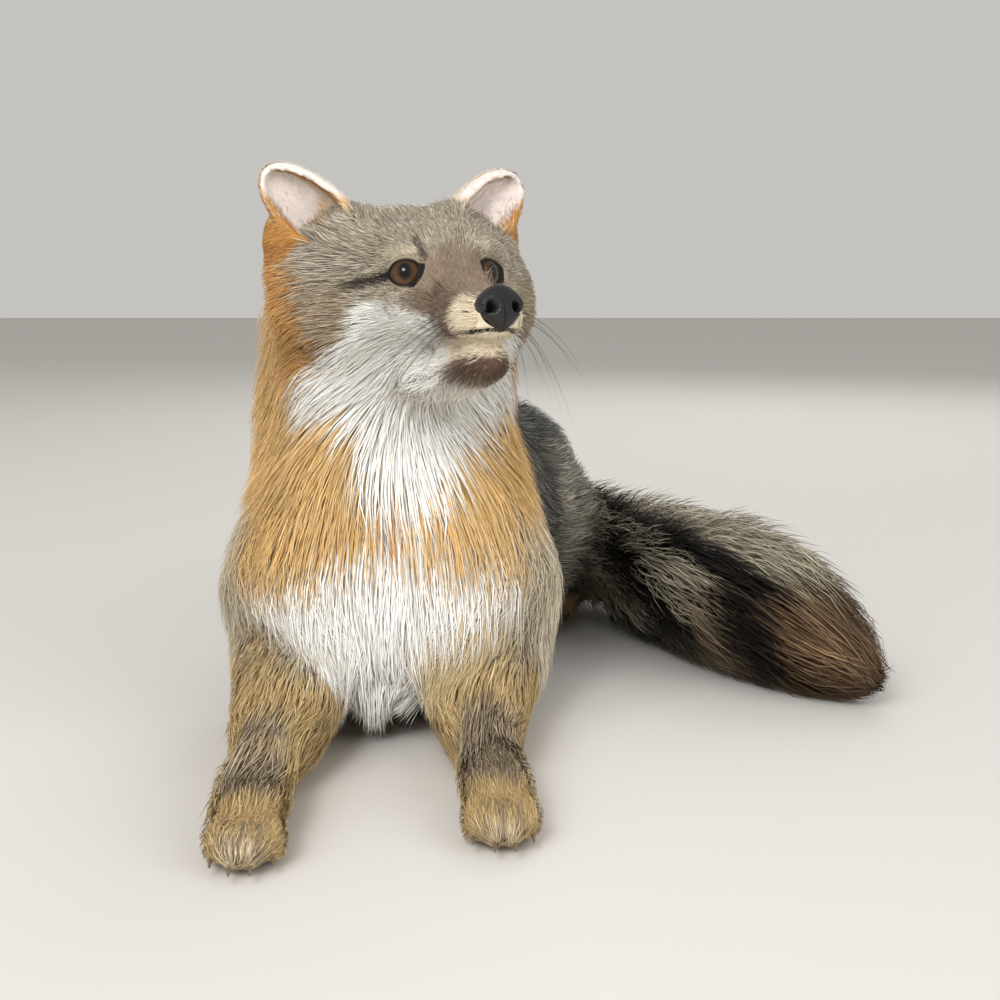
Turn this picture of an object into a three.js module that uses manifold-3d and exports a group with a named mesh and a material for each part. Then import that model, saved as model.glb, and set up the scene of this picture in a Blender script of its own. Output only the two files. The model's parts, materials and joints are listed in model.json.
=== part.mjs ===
// Life-size taxidermy grey fox, lying on its chest with the forelegs stretched out in front.
// Millimetres. +Z is up and the chest faces -Y, so +X is the fox's left. The origin lies in the flat
// underside of the trunk, on the floor. Every solid reaches out to the tips of the coat.
import * as THREE from "three";
import { mergeVertices } from "three/addons/utils/BufferGeometryUtils.js";
import Module from "manifold-3d";

const wasm = await Module();
wasm.setup();

// ---------------------------------------------------------------- driving dimensions
const jointGap = 0.3; // clear space where two pieces meet
const eyeHeight = 219.5;
const headYaw = THREE.MathUtils.degToRad(25.5); // the head looks to the fox's left
const headPitch = THREE.MathUtils.degToRad(8); // and slightly upwards
const eyeRadius = 8.6;
const eyeSpacing = 35;
const eyeForward = 1.4;
const earLength = 43;
const earWall = 3.6;
const tailRadius = 47;
const clawLength = 5.5;

const point = (x, y, z) => new THREE.Vector3(x, y, z);

// ---------------------------------------------------------------- solids
// A closed three.js geometry as a solid, turned to face outwards.
function solidOf(geometry) {
  const bare = geometry.clone();
  for (const name of ["normal", "uv"]) bare.deleteAttribute(name);
  const merged = mergeVertices(bare, 1e-3);
  const triVerts = new Uint32Array(merged.index.array);
  const build = () =>
    new wasm.Manifold(
      new wasm.Mesh({ numProp: 3, vertProperties: merged.attributes.position.array, triVerts }),
    );
  const made = build();
  if (made.volume() > 0) return made;
  for (let i = 0; i < triVerts.length; i += 3) {
    [triVerts[i + 1], triVerts[i + 2]] = [triVerts[i + 2], triVerts[i + 1]];
  }
  return build();
}

function geometryOf(solid) {
  const mesh = solid.getMesh();
  const places = new Float32Array(mesh.numVert * 3);
  for (let i = 0; i < mesh.numVert; i++) {
    places.set(mesh.vertProperties.subarray(i * mesh.numProp, i * mesh.numProp + 3), i * 3);
  }
  const geometry = new THREE.BufferGeometry();
  geometry.setAttribute("position", new THREE.BufferAttribute(places, 3));
  geometry.setIndex(new THREE.BufferAttribute(mesh.triVerts, 1));
  geometry.computeVertexNormals();
  return geometry;
}

const joined = (solids) => solids.reduce((whole, solid) => whole.add(solid));
const largest = (solid) =>
  solid.decompose().reduce((most, body) => (body.volume() > most.volume() ? body : most));

// A rounded body whose sections follow a curve. A station is [x, y, z, halfWidth, above, below],
// measured across, above and below the curve. grow thickens the body on every side.
function loft(stations, { sides = 24, rings = 18, across = point(1, 0, 0), power = 2, caps = [0.12, 0.12], grow = 0 } = {}) {
  const path = new THREE.CatmullRomCurve3(stations.map(([x, y, z]) => point(x, y, z)));
  const sizes = new THREE.CatmullRomCurve3(stations.map(([, , , w, a, b]) => point(w, a, b)));
  const geometry = new THREE.SphereGeometry(1, sides, rings);
  const place = geometry.attributes.position;
  const rounded = (cosine) => Math.sign(cosine) * Math.abs(cosine) ** (2 / power);
  const capped = (share, cap) => (share < cap ? Math.sqrt(Math.max(0, 1 - (1 - share / cap) ** 2)) : 1);
  for (let i = 0; i < place.count; i++) {
    const unit = new THREE.Vector3().fromBufferAttribute(place, i);
    const share = Math.min(1, Math.max(0, (1 - unit.y) / 2));
    const around = Math.atan2(unit.z, unit.x);
    const tangent = path.getTangent(share);
    const side = across.clone().addScaledVector(tangent, -across.dot(tangent)).normalize();
    const up = side.clone().cross(tangent).normalize();
    if (up.z < 0 && Math.abs(tangent.z) < 0.8) up.negate();
    const size = sizes.getPoint(share);
    const cap = capped(share, caps[0]) * capped(1 - share, caps[1]);
    const wide = (size.x * cap + grow) * rounded(Math.cos(around));
    const sine = rounded(Math.sin(around));
    const tall = ((sine > 0 ? size.y : size.z) * cap + grow) * sine;
    const spot = path.getPoint(share).addScaledVector(side, wide).addScaledVector(up, tall);
    if (share < 1e-6) spot.copy(path.getPoint(0)).addScaledVector(tangent, -grow);
    if (share > 1 - 1e-6) spot.copy(path.getPoint(1)).addScaledVector(tangent, grow);
    place.setXYZ(i, spot.x, spot.y, spot.z);
  }
  return solidOf(geometry);
}

function ellipsoid(centre, radii, { sides = 20, rings = 14, grow = 0 } = {}) {
  const geometry = new THREE.SphereGeometry(1, sides, rings);
  geometry.scale(radii.x + grow, radii.y + grow, radii.z + grow);
  return solidOf(geometry.translate(centre.x, centre.y, centre.z));
}

const floorBlock = solidOf(new THREE.BoxGeometry(1200, 1200, 200).translate(0, 0, -100));
const aboveFloor = (solid) => solid.subtract(floorBlock);

// ---------------------------------------------------------------- head, in its own frame
// Here the eyes' midpoint is the origin, -Y is towards the nose and +Z is up.
const headMatrix = new THREE.Matrix4().compose(
  point(-10.9, -165, eyeHeight),
  new THREE.Quaternion().setFromEuler(new THREE.Euler(-headPitch, 0, headYaw, "ZXY")),
  point(1, 1, 1),
);
const inRow = (solid) => solid.transform(headMatrix.elements);

const skullStations = [
  [0, -59, -24, 10, 7, 7],
  [0, -51, -24, 14, 10, 10],
  [0, -38, -23, 16.5, 13, 12],
  [0, -24, -20, 17.5, 15.5, 15],
  [0, -12, -16, 18.5, 17.5, 21],
  [0, 0, -12, 27.5, 28.5, 33],
  [2, 12, -10, 43.5, 41, 43],
  [4, 26, -11, 58, 50, 49],
  [4, 42, -12, 66, 57, 52],
  [3, 60, -12, 63, 55, 50],
  [1, 78, -15, 52, 46, 44],
  [0, 94, -18, 38, 31, 34],
];
const jawStations = [
  [0, -50, -41, 9, 6, 8],
  [0, -40, -42, 12.5, 7, 9.5],
  [0, -22, -44, 16, 9, 11],
  [0, 0, -48, 22, 10, 14],
  [0, 22, -52, 30, 12, 12],
];
const skull = (grow) => inRow(loft(skullStations, { sides: 17, rings: 14, power: 2.15, caps: [0.05, 0.16], grow }));
const jaw = (grow) => inRow(loft(jawStations, { sides: 12, rings: 8, caps: [0.14, 0.2], grow }));
const nosePad = (grow) =>
  inRow(ellipsoid(point(0, -57.5, -21.5), point(10.8, 6.2, 9.2), { sides: 12, rings: 7, grow }));
const eyeball = (side, grow) =>
  inRow(
    ellipsoid(point((side * eyeSpacing) / 2, -eyeForward, 0), point(eyeRadius, eyeRadius, eyeRadius), {
      sides: 12,
      rings: 8,
      grow,
    }),
  );

// An ear is a leaf-shaped cup. Its axis leans out and back, and it opens forwards.
const earRoot = (side) => point(side * 34, 41, 27);
const earAxis = (side) => point(side * 0.72, 0.2, 0.66).normalize();
const earFrame = (side) => {
  const axis = earAxis(side);
  const open = point(side * -0.2, -1, 0.12);
  open.addScaledVector(axis, -open.dot(axis)).normalize();
  return new THREE.Matrix4().makeBasis(open.clone().cross(axis), axis, open).setPosition(earRoot(side));
};
const earLeaf = [
  [0, -0.12, -4, 15.5, 14, 16],
  [0, 0.12, -3, 17, 15, 16],
  [0, 0.38, -1, 17, 13, 13],
  [0, 0.64, 0, 15, 10, 10],
  [0, 0.85, 1, 11, 7, 7],
  [0, 1, 2, 5.5, 4, 4],
].map(([x, share, z, w, a, b]) => [x, share * earLength, z, w, a, b]);
// The hair behind an ear fills the way down to the neck.
const earHair = (side, grow) =>
  inRow(
    loft(
      [
        [side * 50, 51, 44, 7, 8, 8],
        [side * 52, 53, 30, 12, 13, 12],
        [side * 53, 56, 12, 14, 16, 15],
        [side * 52, 61, -8, 14, 18, 17],
        [side * 49, 66, -26, 12, 14, 13],
      ],
      { sides: 8, rings: 6, caps: [0.2, 0.2], grow },
    ),
  );
function earCup(side, grow = 0) {
  const shape = { sides: 12, rings: 8, caps: [0.1, 0.2] };
  const leaf = loft(earLeaf, { ...shape, grow });
  const placed = (solid) => inRow(solid.transform(earFrame(side).elements));
  if (grow) return placed(leaf).add(earHair(side, grow));
  const hollow = loft(earLeaf, { ...shape, grow: -earWall });
  const behind = earHair(side, 0).subtract(placed(loft(earLeaf, { ...shape, grow: -earWall / 2 })));
  const rimTurn = new THREE.Matrix4().makeRotationY(side * -0.3);
  const opening = solidOf(new THREE.BoxGeometry(90, 140, 40).translate(0, 50, 24).applyMatrix4(rimTurn));
  return placed(largest(leaf.subtract(hollow).subtract(opening))).add(largest(behind));
}

// ---------------------------------------------------------------- neck, trunk and haunches
const spineX = (y) => -16 + 0.19 * y; // the trunk runs back and towards the fox's left
const trunkStations = [
  [-42, -179, 88, 46, 44, 44],
  [-41, -162, 86, 62, 60, 60],
  [-39, -132, 84, 72, 72, 78],
  [-33, -90, 83, 72, 80, 84],
  [spineX(-40), -40, 81, 68, 79, 84],
  [spineX(15), 15, 79, 66, 76, 84],
  [spineX(65), 65, 78, 68, 76, 82],
  [spineX(105), 105, 75, 68, 75, 78],
  [spineX(140), 140, 70, 58, 66, 70],
  [spineX(172), 172, 64, 42, 48, 52],
  [spineX(192), 192, 62, 28, 32, 34],
];
const neckStations = [
  [-40, -84, 60, 62, 60, 70],
  [-41, -88, 105, 70, 78, 86],
  [-42, -94, 145, 68, 72, 78],
  [-43, -96, 180, 68, 58, 60],
  [-45, -92, 206, 65, 44, 48],
  [-46, -88, 233, 57, 33, 33],
];
const trunk = (grow) => loft(trunkStations, { sides: 19, rings: 14, power: 2.25, caps: [0.08, 0.1], grow });
const neck = (grow) => loft(neckStations, { sides: 15, rings: 9, caps: [0.1, 0.16], grow });
// The long hair of the breast hangs to the floor between the forelegs.
const breastHair = (grow) =>
  loft(
    [
      [-43, -150, 62, 30, 26, 24],
      [-43, -152, 40, 25, 20, 20],
      [-44, -153, 18, 15, 12, 12],
      [-45, -154, -1, 7, 6, 6],
    ],
    { sides: 10, rings: 6, caps: [0.2, 0.1], grow },
  );

// side is +1 for the fox's left and -1 for its right. beside() counts away from the spine.
const beside = (side, away, y) => [spineX(y) + side * away, y];
const haunch = (side, grow) =>
  loft(
    [
      [...beside(side, 38, -6), 48, 18, 26, 34],
      [...beside(side, 43, 22), 56, 26, 42, 48],
      [...beside(side, 46, 60), 64, 32, 52, 48],
      [...beside(side, 46, 100), 66, 33, 48, 40],
      [...beside(side, 38, 134), 58, 26, 32, 32],
    ],
    { sides: 14, rings: 9, caps: [0.2, 0.24], grow },
  );
const hindFoot = (side, grow) =>
  loft(
    [
      [...beside(side, 40, 172), 22, 14, 17, 24],
      [...beside(side, 44, 144), 17, 13, 13, 19],
      [...beside(side, 46, 118), 14, 13, 11, 16],
      [...beside(side, 47, 96), 12, 15, 11, 14],
    ],
    { sides: 10, rings: 7, caps: [0.12, 0.12], grow },
  );

// ---------------------------------------------------------------- forelegs and paws
// A foreleg runs along the floor from its elbow, through its wrist, to its toes.
const forelegs = {
  left: { side: 1, elbow: point(14, -92, 0), wrist: point(11, -224, 0), toes: point(17, -297, 0) },
  right: { side: -1, elbow: point(-93, -92, 0), wrist: point(-85, -245, 0), toes: point(-80, -319, 0) },
};

// A size is [share, bow, height, halfWidth, above, below]. A share of 1 is the wrist itself, and the bow
// sets the forearm inwards.
function forearm({ side, elbow, wrist }, grow) {
  const sizes = [
    [-0.1, 0, 34, 26, 24, 36],
    [0.1, 2, 36, 31, 28, 38],
    [0.4, 6, 32, 29, 24, 34],
    [0.66, 6, 26, 25.5, 19, 28],
    [0.86, 3, 21, 20, 16, 23],
    [1.06, 0, 17, 15, 14, 19],
  ];
  const stations = sizes.map(([share, bow, z, w, a, b]) => {
    const spot = elbow.clone().lerp(wrist, share);
    return [spot.x - side * bow, spot.y, z, w, a, b];
  });
  return loft(stations, { sides: 12, rings: 8, caps: [0.16, 0.1], grow });
}

function upperArm({ side, elbow }, grow) {
  const stations = [
    [elbow.x - side * 6, elbow.y - 34, 128, 20, 28, 28],
    [elbow.x + side * 0, elbow.y - 30, 98, 26, 44, 40],
    [elbow.x + side * 3, elbow.y - 14, 62, 30, 46, 42],
    [elbow.x + side * 1, elbow.y + 4, 30, 27, 36, 30],
  ];
  return loft(stations, { sides: 14, rings: 9, caps: [0.3, 0.24], grow });
}

// Four toes side by side, the middle two the longest.
const toeSpread = [-1.5, -0.5, 0.5, 1.5];
function toes(tip, turn, size, grow) {
  return joined(
    toeSpread.map((place) => {
      const outer = Math.abs(place) > 1;
      const back = outer ? 8 * size : 0;
      const local = [
        [place * 6.4 * size, back + 26 * size, 13 * size, 6 * size, 7 * size, 14 * size],
        [place * 7.6 * size, back + 12 * size, 13 * size, 6.4 * size, 8.4 * size, 15 * size],
        [place * 7.8 * size, back - 1 * size, 9 * size, 5.4 * size, 6 * size, 10 * size],
      ];
      const matrix = new THREE.Matrix4().makeRotationZ(turn).setPosition(tip);
      return loft(local, { sides: 7, rings: 4, caps: [0.3, 0.3], grow }).transform(matrix.elements);
    }),
  );
}

const legTurn = ({ wrist, toes: end }) => Math.atan2(end.x - wrist.x, wrist.y - end.y);
function forepaw(leg, grow) {
  const palmStations = [
    [-0.02, 17, 16, 13, 19],
    [0.34, 16, 17, 13, 18],
    [0.7, 14, 16, 11, 16],
  ].map(([share, z, w, a, b]) => {
    const spot = leg.wrist.clone().lerp(leg.toes, share);
    return [spot.x, spot.y, z, w, a, b];
  });
  const palm = loft(palmStations, { sides: 10, rings: 6, caps: [0.2, 0.3], grow });
  return palm.add(toes(leg.toes, legTurn(leg), 1, grow));
}

const hindTurn = (side) => -0.187 + side * -0.05;
const hindTip = (side) => point(...beside(side, 48, 76), 0);
const hindPaw = (side, grow) => toes(hindTip(side), hindTurn(side), 0.92, grow);

// A claw is a short curved horn at a toe's tip, one to a toe.
function claws(name, tip, turn, size) {
  return toeSpread.map((place, i) => {
    const back = Math.abs(place) > 1 ? 8 * size : 0;
    const length = clawLength * size;
    const local = [
      [0, 0, 0, 1.5, 2.1, 2.1],
      [0, -0.45 * length, -0.06 * length, 1.2, 1.6, 1.6],
      [0, -0.8 * length, -0.3 * length, 0.8, 0.9, 0.9],
      [0, -length, -0.52 * length, 0.45, 0.45, 0.45],
    ];
    const root = point(place * 7.8 * size, back + 1.5 * size, 6.4 * size);
    const matrix = new THREE.Matrix4()
      .makeRotationZ(turn)
      .setPosition(tip)
      .multiply(new THREE.Matrix4().makeTranslation(root.x, root.y, root.z));
    const solid = loft(local, { sides: 5, rings: 4, caps: [0.2, 0.2] });
    return { name: `claw_${name}_${i + 1}`, solid: aboveFloor(solid.transform(matrix.elements)) };
  });
}

// ---------------------------------------------------------------- tail
const tailStations = [
  [14, 170, 60, 0.64],
  [44, 166, 51, 0.78],
  [75, 130, 44, 0.88],
  [98, 76, 43, 0.94],
  [122, 23, 44, 0.99],
  [146, -19, 44, 1],
  [164, -50, 41, 0.92],
  [183, -78, 30, 0.68],
  [203, -103, 15, 0.34],
].map(([x, y, z, share]) => [x, y, z, share * tailRadius, share * tailRadius, share * tailRadius]);
const tail = (grow) =>
  loft(tailStations, { sides: 14, rings: 13, across: point(0.9, 0.45, 0), caps: [0.06, 0.12], grow });

// Cuts a solid across by planes and leaves a gap of jointGap at each.
function lengths(solid, planes) {
  const pieces = [];
  let rest = solid;
  for (const { at, towards } of planes) {
    const normal = towards.clone().normalize();
    const offset = normal.dot(at);
    const plain = [normal.x, normal.y, normal.z];
    const turned = plain.map((value) => -value);
    pieces.push(rest.trimByPlane(turned, -offset + jointGap / 2));
    rest = rest.trimByPlane(plain, offset + jointGap / 2);
  }
  return [...pieces, rest].map(largest);
}

// ---------------------------------------------------------------- materials
const coat = (hex) => new THREE.MeshStandardMaterial({ color: hex, roughness: 0.9, metalness: 0 });
const materials = {
  grizzled: coat(0x8f8779),
  tawny: coat(0xc08b45),
  white: coat(0xe6e0d6),
  ear: coat(0xd9b9a6),
  horn: new THREE.MeshStandardMaterial({ color: 0x2a221c, roughness: 0.35, metalness: 0 }),
  nose: new THREE.MeshStandardMaterial({ color: 0x17181b, roughness: 0.35, metalness: 0 }),
  glass: new THREE.MeshStandardMaterial({ color: 0x3a2113, roughness: 0.05, metalness: 0 }),
};

// ---------------------------------------------------------------- the fox
const fox = new THREE.Group();
const headGroup = new THREE.Group();
headGroup.applyMatrix4(headMatrix);
fox.add(headGroup);

function addPiece(name, solid, material, group = fox) {
  const geometry = geometryOf(largest(solid));
  if (group === headGroup) geometry.applyMatrix4(headMatrix.clone().invert());
  const mesh = new THREE.Mesh(geometry, material);
  mesh.name = name;
  group.add(mesh);
}

const sides = { left: 1, right: -1 };
const without = (solid, ...others) => others.reduce((left, other) => left.subtract(other), solid);

// The head group: the eyes and the nose pad are whole, and the skull is cut by them.
addPiece("nose", nosePad(0), materials.nose, headGroup);
for (const [name, side] of Object.entries(sides)) {
  addPiece(`eye_${name}`, eyeball(side, 0), materials.glass, headGroup);
  const cup = earCup(side).subtract(skull(jointGap));
  addPiece(`ear_${name}`, cup, materials.ear, headGroup);
}
const eyesAndNose = joined([nosePad(jointGap), eyeball(1, jointGap), eyeball(-1, jointGap)]);
addPiece("head", without(skull(0), eyesAndNose, trunk(jointGap)), materials.grizzled, headGroup);
const freeJaw = without(jaw(0), skull(jointGap), neck(jointGap), trunk(jointGap));
addPiece("lower_jaw", freeJaw, materials.white, headGroup);

// The trunk is whole, and what joins it is cut by it.
addPiece("trunk", aboveFloor(trunk(0)), materials.grizzled);
const besideHair = Object.values(forelegs).map((leg) => forearm(leg, jointGap));
const hanging = without(breastHair(0), trunk(jointGap), ...besideHair);
addPiece("breast_hair", aboveFloor(hanging), materials.white);
const ears = joined([earCup(1, jointGap), earCup(-1, jointGap)]);
addPiece("neck", without(neck(0), trunk(jointGap), skull(jointGap), ears), materials.tawny);

for (const [name, leg] of Object.entries(forelegs)) {
  const body = trunk(jointGap).add(neck(jointGap));
  addPiece(`upper_arm_${name}`, aboveFloor(upperArm(leg, 0).subtract(body)), materials.tawny);
  const arm = without(forearm(leg, 0), body, upperArm(leg, jointGap), forepaw(leg, jointGap));
  addPiece(`forearm_${name}`, aboveFloor(arm), materials.tawny);
  addPiece(`forepaw_${name}`, aboveFloor(forepaw(leg, 0)), materials.tawny);
  for (const claw of claws(`fore_${name}`, leg.toes, legTurn(leg), 1)) {
    addPiece(claw.name, claw.solid.subtract(forepaw(leg, jointGap)), materials.horn);
  }
}

for (const [name, side] of Object.entries(sides)) {
  const body = trunk(jointGap);
  addPiece(`thigh_${name}`, aboveFloor(haunch(side, 0).subtract(body)), materials.grizzled);
  const upper = haunch(side, jointGap);
  const foot = without(hindFoot(side, 0), body, upper, hindPaw(side, jointGap));
  addPiece(`hind_foot_${name}`, aboveFloor(foot), materials.tawny);
  addPiece(`hind_paw_${name}`, aboveFloor(without(hindPaw(side, 0), body, upper)), materials.tawny);
  for (const claw of claws(`hind_${name}`, hindTip(side), hindTurn(side), 0.92)) {
    addPiece(claw.name, without(claw.solid, hindPaw(side, jointGap), body, upper), materials.horn);
  }
}

const tailCuts = [
  { at: point(86, 105, 44), towards: point(0.42, -0.9, 0) },
  { at: point(134, 2, 44), towards: point(0.5, -0.86, 0) },
];
const hindLeg = joined([haunch(1, jointGap), hindFoot(1, jointGap), hindPaw(1, jointGap)]);
const freeTail = aboveFloor(without(tail(0), trunk(jointGap), hindLeg));
lengths(freeTail, tailCuts).forEach((piece, i) => {
  addPiece(`tail_${["base", "middle", "tip"][i]}`, piece, materials.grizzled);
});

export default fox;
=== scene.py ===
# Taxidermy grey fox, life size, lying on its chest: skin, coat, eyes, nose, claws and whiskers.
# Tables are in millimetres; meshes are in metres.
import math

import bmesh
import bpy
import numpy as np
from mathutils import Matrix, Vector
from mathutils.bvhtree import BVHTree
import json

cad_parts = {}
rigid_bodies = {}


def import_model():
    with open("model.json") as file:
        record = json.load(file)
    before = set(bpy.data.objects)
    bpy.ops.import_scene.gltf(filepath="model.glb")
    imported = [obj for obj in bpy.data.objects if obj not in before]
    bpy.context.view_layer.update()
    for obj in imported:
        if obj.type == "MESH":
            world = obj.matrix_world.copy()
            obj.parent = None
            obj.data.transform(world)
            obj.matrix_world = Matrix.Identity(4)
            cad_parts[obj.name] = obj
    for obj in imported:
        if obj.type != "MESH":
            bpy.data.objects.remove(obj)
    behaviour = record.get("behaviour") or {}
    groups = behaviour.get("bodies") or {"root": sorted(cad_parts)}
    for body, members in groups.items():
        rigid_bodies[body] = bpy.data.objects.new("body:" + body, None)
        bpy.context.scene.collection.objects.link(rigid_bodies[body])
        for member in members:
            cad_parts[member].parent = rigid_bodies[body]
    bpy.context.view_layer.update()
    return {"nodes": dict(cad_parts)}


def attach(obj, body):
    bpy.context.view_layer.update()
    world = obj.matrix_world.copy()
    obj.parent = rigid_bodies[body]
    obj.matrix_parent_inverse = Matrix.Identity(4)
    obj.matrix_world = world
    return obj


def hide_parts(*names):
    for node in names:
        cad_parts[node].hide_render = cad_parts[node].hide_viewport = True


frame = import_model()
dice = np.random.default_rng(27)
print("frame loaded:", len(frame["nodes"]), "nodes")

# small helpers


def tone(red, green, blue):
    # a colour as seen, 0 to 255, made linear
    c = np.array([red, green, blue], float) / 255
    return np.where(c <= 0.04045, c / 12.92, ((c + 0.055) / 1.055) ** 2.4)


def ramp(x, start, end):
    # smooth step from 0 at start to 1 at end; start may be the larger
    t = np.clip((x - start) / (end - start), 0, 1)
    return t * t * (3 - 2 * t)


def unit(v):
    return v / np.maximum(np.linalg.norm(v, axis=-1, keepdims=True), 1e-12)


def placesOf(mesh):
    flat = np.empty(len(mesh.vertices) * 3, np.float32)
    mesh.vertices.foreach_get("co", flat)
    return flat.reshape(-1, 3).astype(float)


def trianglesOf(mesh):
    mesh.calc_loop_triangles()
    flat = np.empty(len(mesh.loop_triangles) * 3, np.int32)
    mesh.loop_triangles.foreach_get("vertices", flat)
    return flat.reshape(-1, 3)


def pairsOf(mesh):
    flat = np.empty(len(mesh.edges) * 2, np.int32)
    mesh.edges.foreach_get("vertices", flat)
    return flat.reshape(-1, 2)


def movePlaces(mesh, places):
    mesh.vertices.foreach_set("co", places.astype(np.float32).ravel())
    mesh.update()


def eased(values, pairs, rounds, share=0.6):
    # each value drifts towards the mean of its neighbours
    values = np.array(values, float).reshape(len(values), -1)
    ends = np.concatenate([pairs[:, 0], pairs[:, 1]])
    others = np.concatenate([pairs[:, 1], pairs[:, 0]])
    count = np.bincount(ends, minlength=len(values)).clip(1)[:, None]
    for _ in range(rounds):
        sums = [np.bincount(ends, values[others, k], len(values)) for k in range(values.shape[1])]
        values = (1 - share) * values + share * np.stack(sums, 1) / count
    return values


def easedWhere(mask, values, pairs, rounds, share=0.6):
    # the same, as far as the mask says
    mask = mask[:, None]
    return values * (1 - mask) + eased(values, pairs, rounds, share) * mask


def addObject(name, mesh):
    made = bpy.data.objects.new(name, mesh)
    bpy.context.scene.collection.objects.link(made)
    return made


def meshFrom(bm, name):
    mesh = bpy.data.meshes.new(name)
    bm.to_mesh(mesh)
    bm.free()
    return mesh


def settled(obj, name):
    # the mesh with its modifiers in it; the object goes
    graph = bpy.context.evaluated_depsgraph_get()
    mesh = bpy.data.meshes.new_from_object(obj.evaluated_get(graph), depsgraph=graph)
    mesh.name = name
    bpy.data.objects.remove(obj)
    return mesh


def shadeSmooth(mesh):
    mesh.polygons.foreach_set("use_smooth", np.ones(len(mesh.polygons), bool))


def setTint(mesh, name, colours):
    layer = mesh.attributes.get(name) or mesh.attributes.new(name, "FLOAT_COLOR", "POINT")
    full = np.ones((len(colours), 4), np.float32)
    full[:, :3] = colours
    layer.data.foreach_set("color", full.ravel())


def setShare(mesh, name, values):
    layer = mesh.attributes.get(name) or mesh.attributes.new(name, "FLOAT", "POINT")
    layer.data.foreach_set("value", np.asarray(values, np.float32))


def setUv(mesh, name, values, faces):
    # a UV map from one value per point
    layer = mesh.uv_layers.new(name=name)
    ofCorners = values.reshape(-1, 2)[faces.ravel()]
    layer.data.foreach_set("uv", ofCorners.astype(np.float32).ravel())


def newMaterial(name):
    # a material with its nodes, its links and its shader
    material = bpy.data.materials.new(name)
    material.use_nodes = True
    tree = material.node_tree
    return material, tree.nodes, tree.links, tree.nodes["Principled BSDF"]


def addMix(nodes, blend="MIX"):
    mix = nodes.new("ShaderNodeMix")
    mix.data_type = "RGBA"
    mix.blend_type = blend
    return mix


def addRange(nodes, lowIn, highIn, lowOut, highOut):
    mapRange = nodes.new("ShaderNodeMapRange")
    mapRange.inputs["From Min"].default_value = lowIn
    mapRange.inputs["From Max"].default_value = highIn
    mapRange.inputs["To Min"].default_value = lowOut
    mapRange.inputs["To Max"].default_value = highOut
    return mapRange


# the head's own frame: across to the fox's left, forward to the nose, up; from between the eyes
headPlace = {"origin": (-10.9, -165.0, 219.5), "yaw": 25.5, "pitch": 8.0}
headTurn = np.array(
    Matrix.Rotation(math.radians(headPlace["yaw"]), 3, "Z")
    @ Matrix.Rotation(-math.radians(headPlace["pitch"]), 3, "X")
)
headOrigin = np.array(headPlace["origin"])


def toHead(places):
    h = (np.asarray(places, float) - headOrigin) @ headTurn
    return h * (1, -1, 1)


def fromHead(h):
    return (np.asarray(h, float) * (1, -1, 1)) @ headTurn.T + headOrigin


def headWays(ways):
    return (np.asarray(ways, float) * (1, -1, 1)) @ headTurn.T


# the skin: the frame's flesh as one body, drawn in by the depth of the coat

skinShape = {
    "fineness": 1.4,  # mesh size of the outline
    "coarser": 2.0,  # mesh size of the envelope that the coat stays under
    "swell": 0.45,
    "steps": 28,  # in how many steps it is drawn in
    "thinnest": 0.34,  # the coat takes at most this share of a part's thickness on each side
    "flattened": 0.35,  # share of the depth that is left where the fox lies on the floor
    "cupStart": 21,  # how high on the head the thin cups of the ears begin
    "cupDepth": 0.5,
    "growth": 0.95,  # how much the depth may grow from one point of the mesh to the next
    "keptFurry": 0.1,  # share of the faces kept under the coat and on the face
    "keptFace": 0.62,
    "wrists": ((11, -232, 20), (-85, -253, 20)),
    "depths": {
        "neck": 15, "trunk": 13, "breast_hair": 17, "upper_arm": 10, "forearm": 4.5, "forepaw": 2.6,
        "thigh": 11, "hind_foot": 4, "hind_paw": 3, "tail_base": 22, "tail_middle": 26, "tail_tip": 27,
        "ear": 5, "lower_jaw": 2, "nose": 1.2, "eye": 1.6,
    },
}

fleshNodes = sorted(n for n in frame["nodes"] if not n.startswith("claw_"))


def isPart(node, *starts):
    # true where a place's node has such a name
    return np.isin(node, [i for i, n in enumerate(fleshNodes) if n.startswith(starts)])


def addRemesh(obj, size):
    remesh = obj.modifiers.new("oneBody", "REMESH")
    remesh.mode = "VOXEL"
    remesh.voxel_size = size / 1000


def oneBody(nodeNames, name, size):
    # copies of the nodes, merged and remeshed as one closed body
    # each swells a little first, which closes the gaps between them
    bm = bmesh.new()
    for nodeName in nodeNames:
        bm.from_mesh(frame["nodes"][nodeName].data)
    bmesh.ops.remove_doubles(bm, verts=bm.verts, dist=1e-6)
    bm.normal_update()
    for vert, way in [(v, v.normal.copy()) for v in bm.verts]:
        vert.co += way * skinShape["swell"] / 1000
    obj = addObject(name, meshFrom(bm, name))
    addRemesh(obj, size)
    return settled(obj, name)


bm = bmesh.new()
nodeOfFace = []
for i, nodeName in enumerate(fleshNodes):
    before = len(bm.faces)
    bm.from_mesh(frame["nodes"][nodeName].data)
    nodeOfFace += [i] * (len(bm.faces) - before)
rawTree = BVHTree.FromBMesh(bm)
bm.free()
nodeOfFace = np.array(nodeOfFace)
envelope = oneBody(fleshNodes, "envelope", skinShape["coarser"])
movePlaces(envelope, eased(placesOf(envelope), pairsOf(envelope), 2, 0.5))
envelopeTree = BVHTree.FromPolygons(placesOf(envelope).tolist(), trianglesOf(envelope).tolist())
outline = oneBody([n for n in fleshNodes if n != "breast_hair"], "outline", skinShape["fineness"])
outlinePairs = pairsOf(outline)
outlinePlaces = eased(placesOf(outline), outlinePairs, 3, 0.5)
movePlaces(outline, outlinePlaces)
print("outline:", len(outline.vertices), "points")


def nodesNear(places):
    # the frame node that each place lies nearest to
    faces = [rawTree.find_nearest(p)[2] for p in places.tolist()]
    return nodeOfFace[np.array(faces)]


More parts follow.
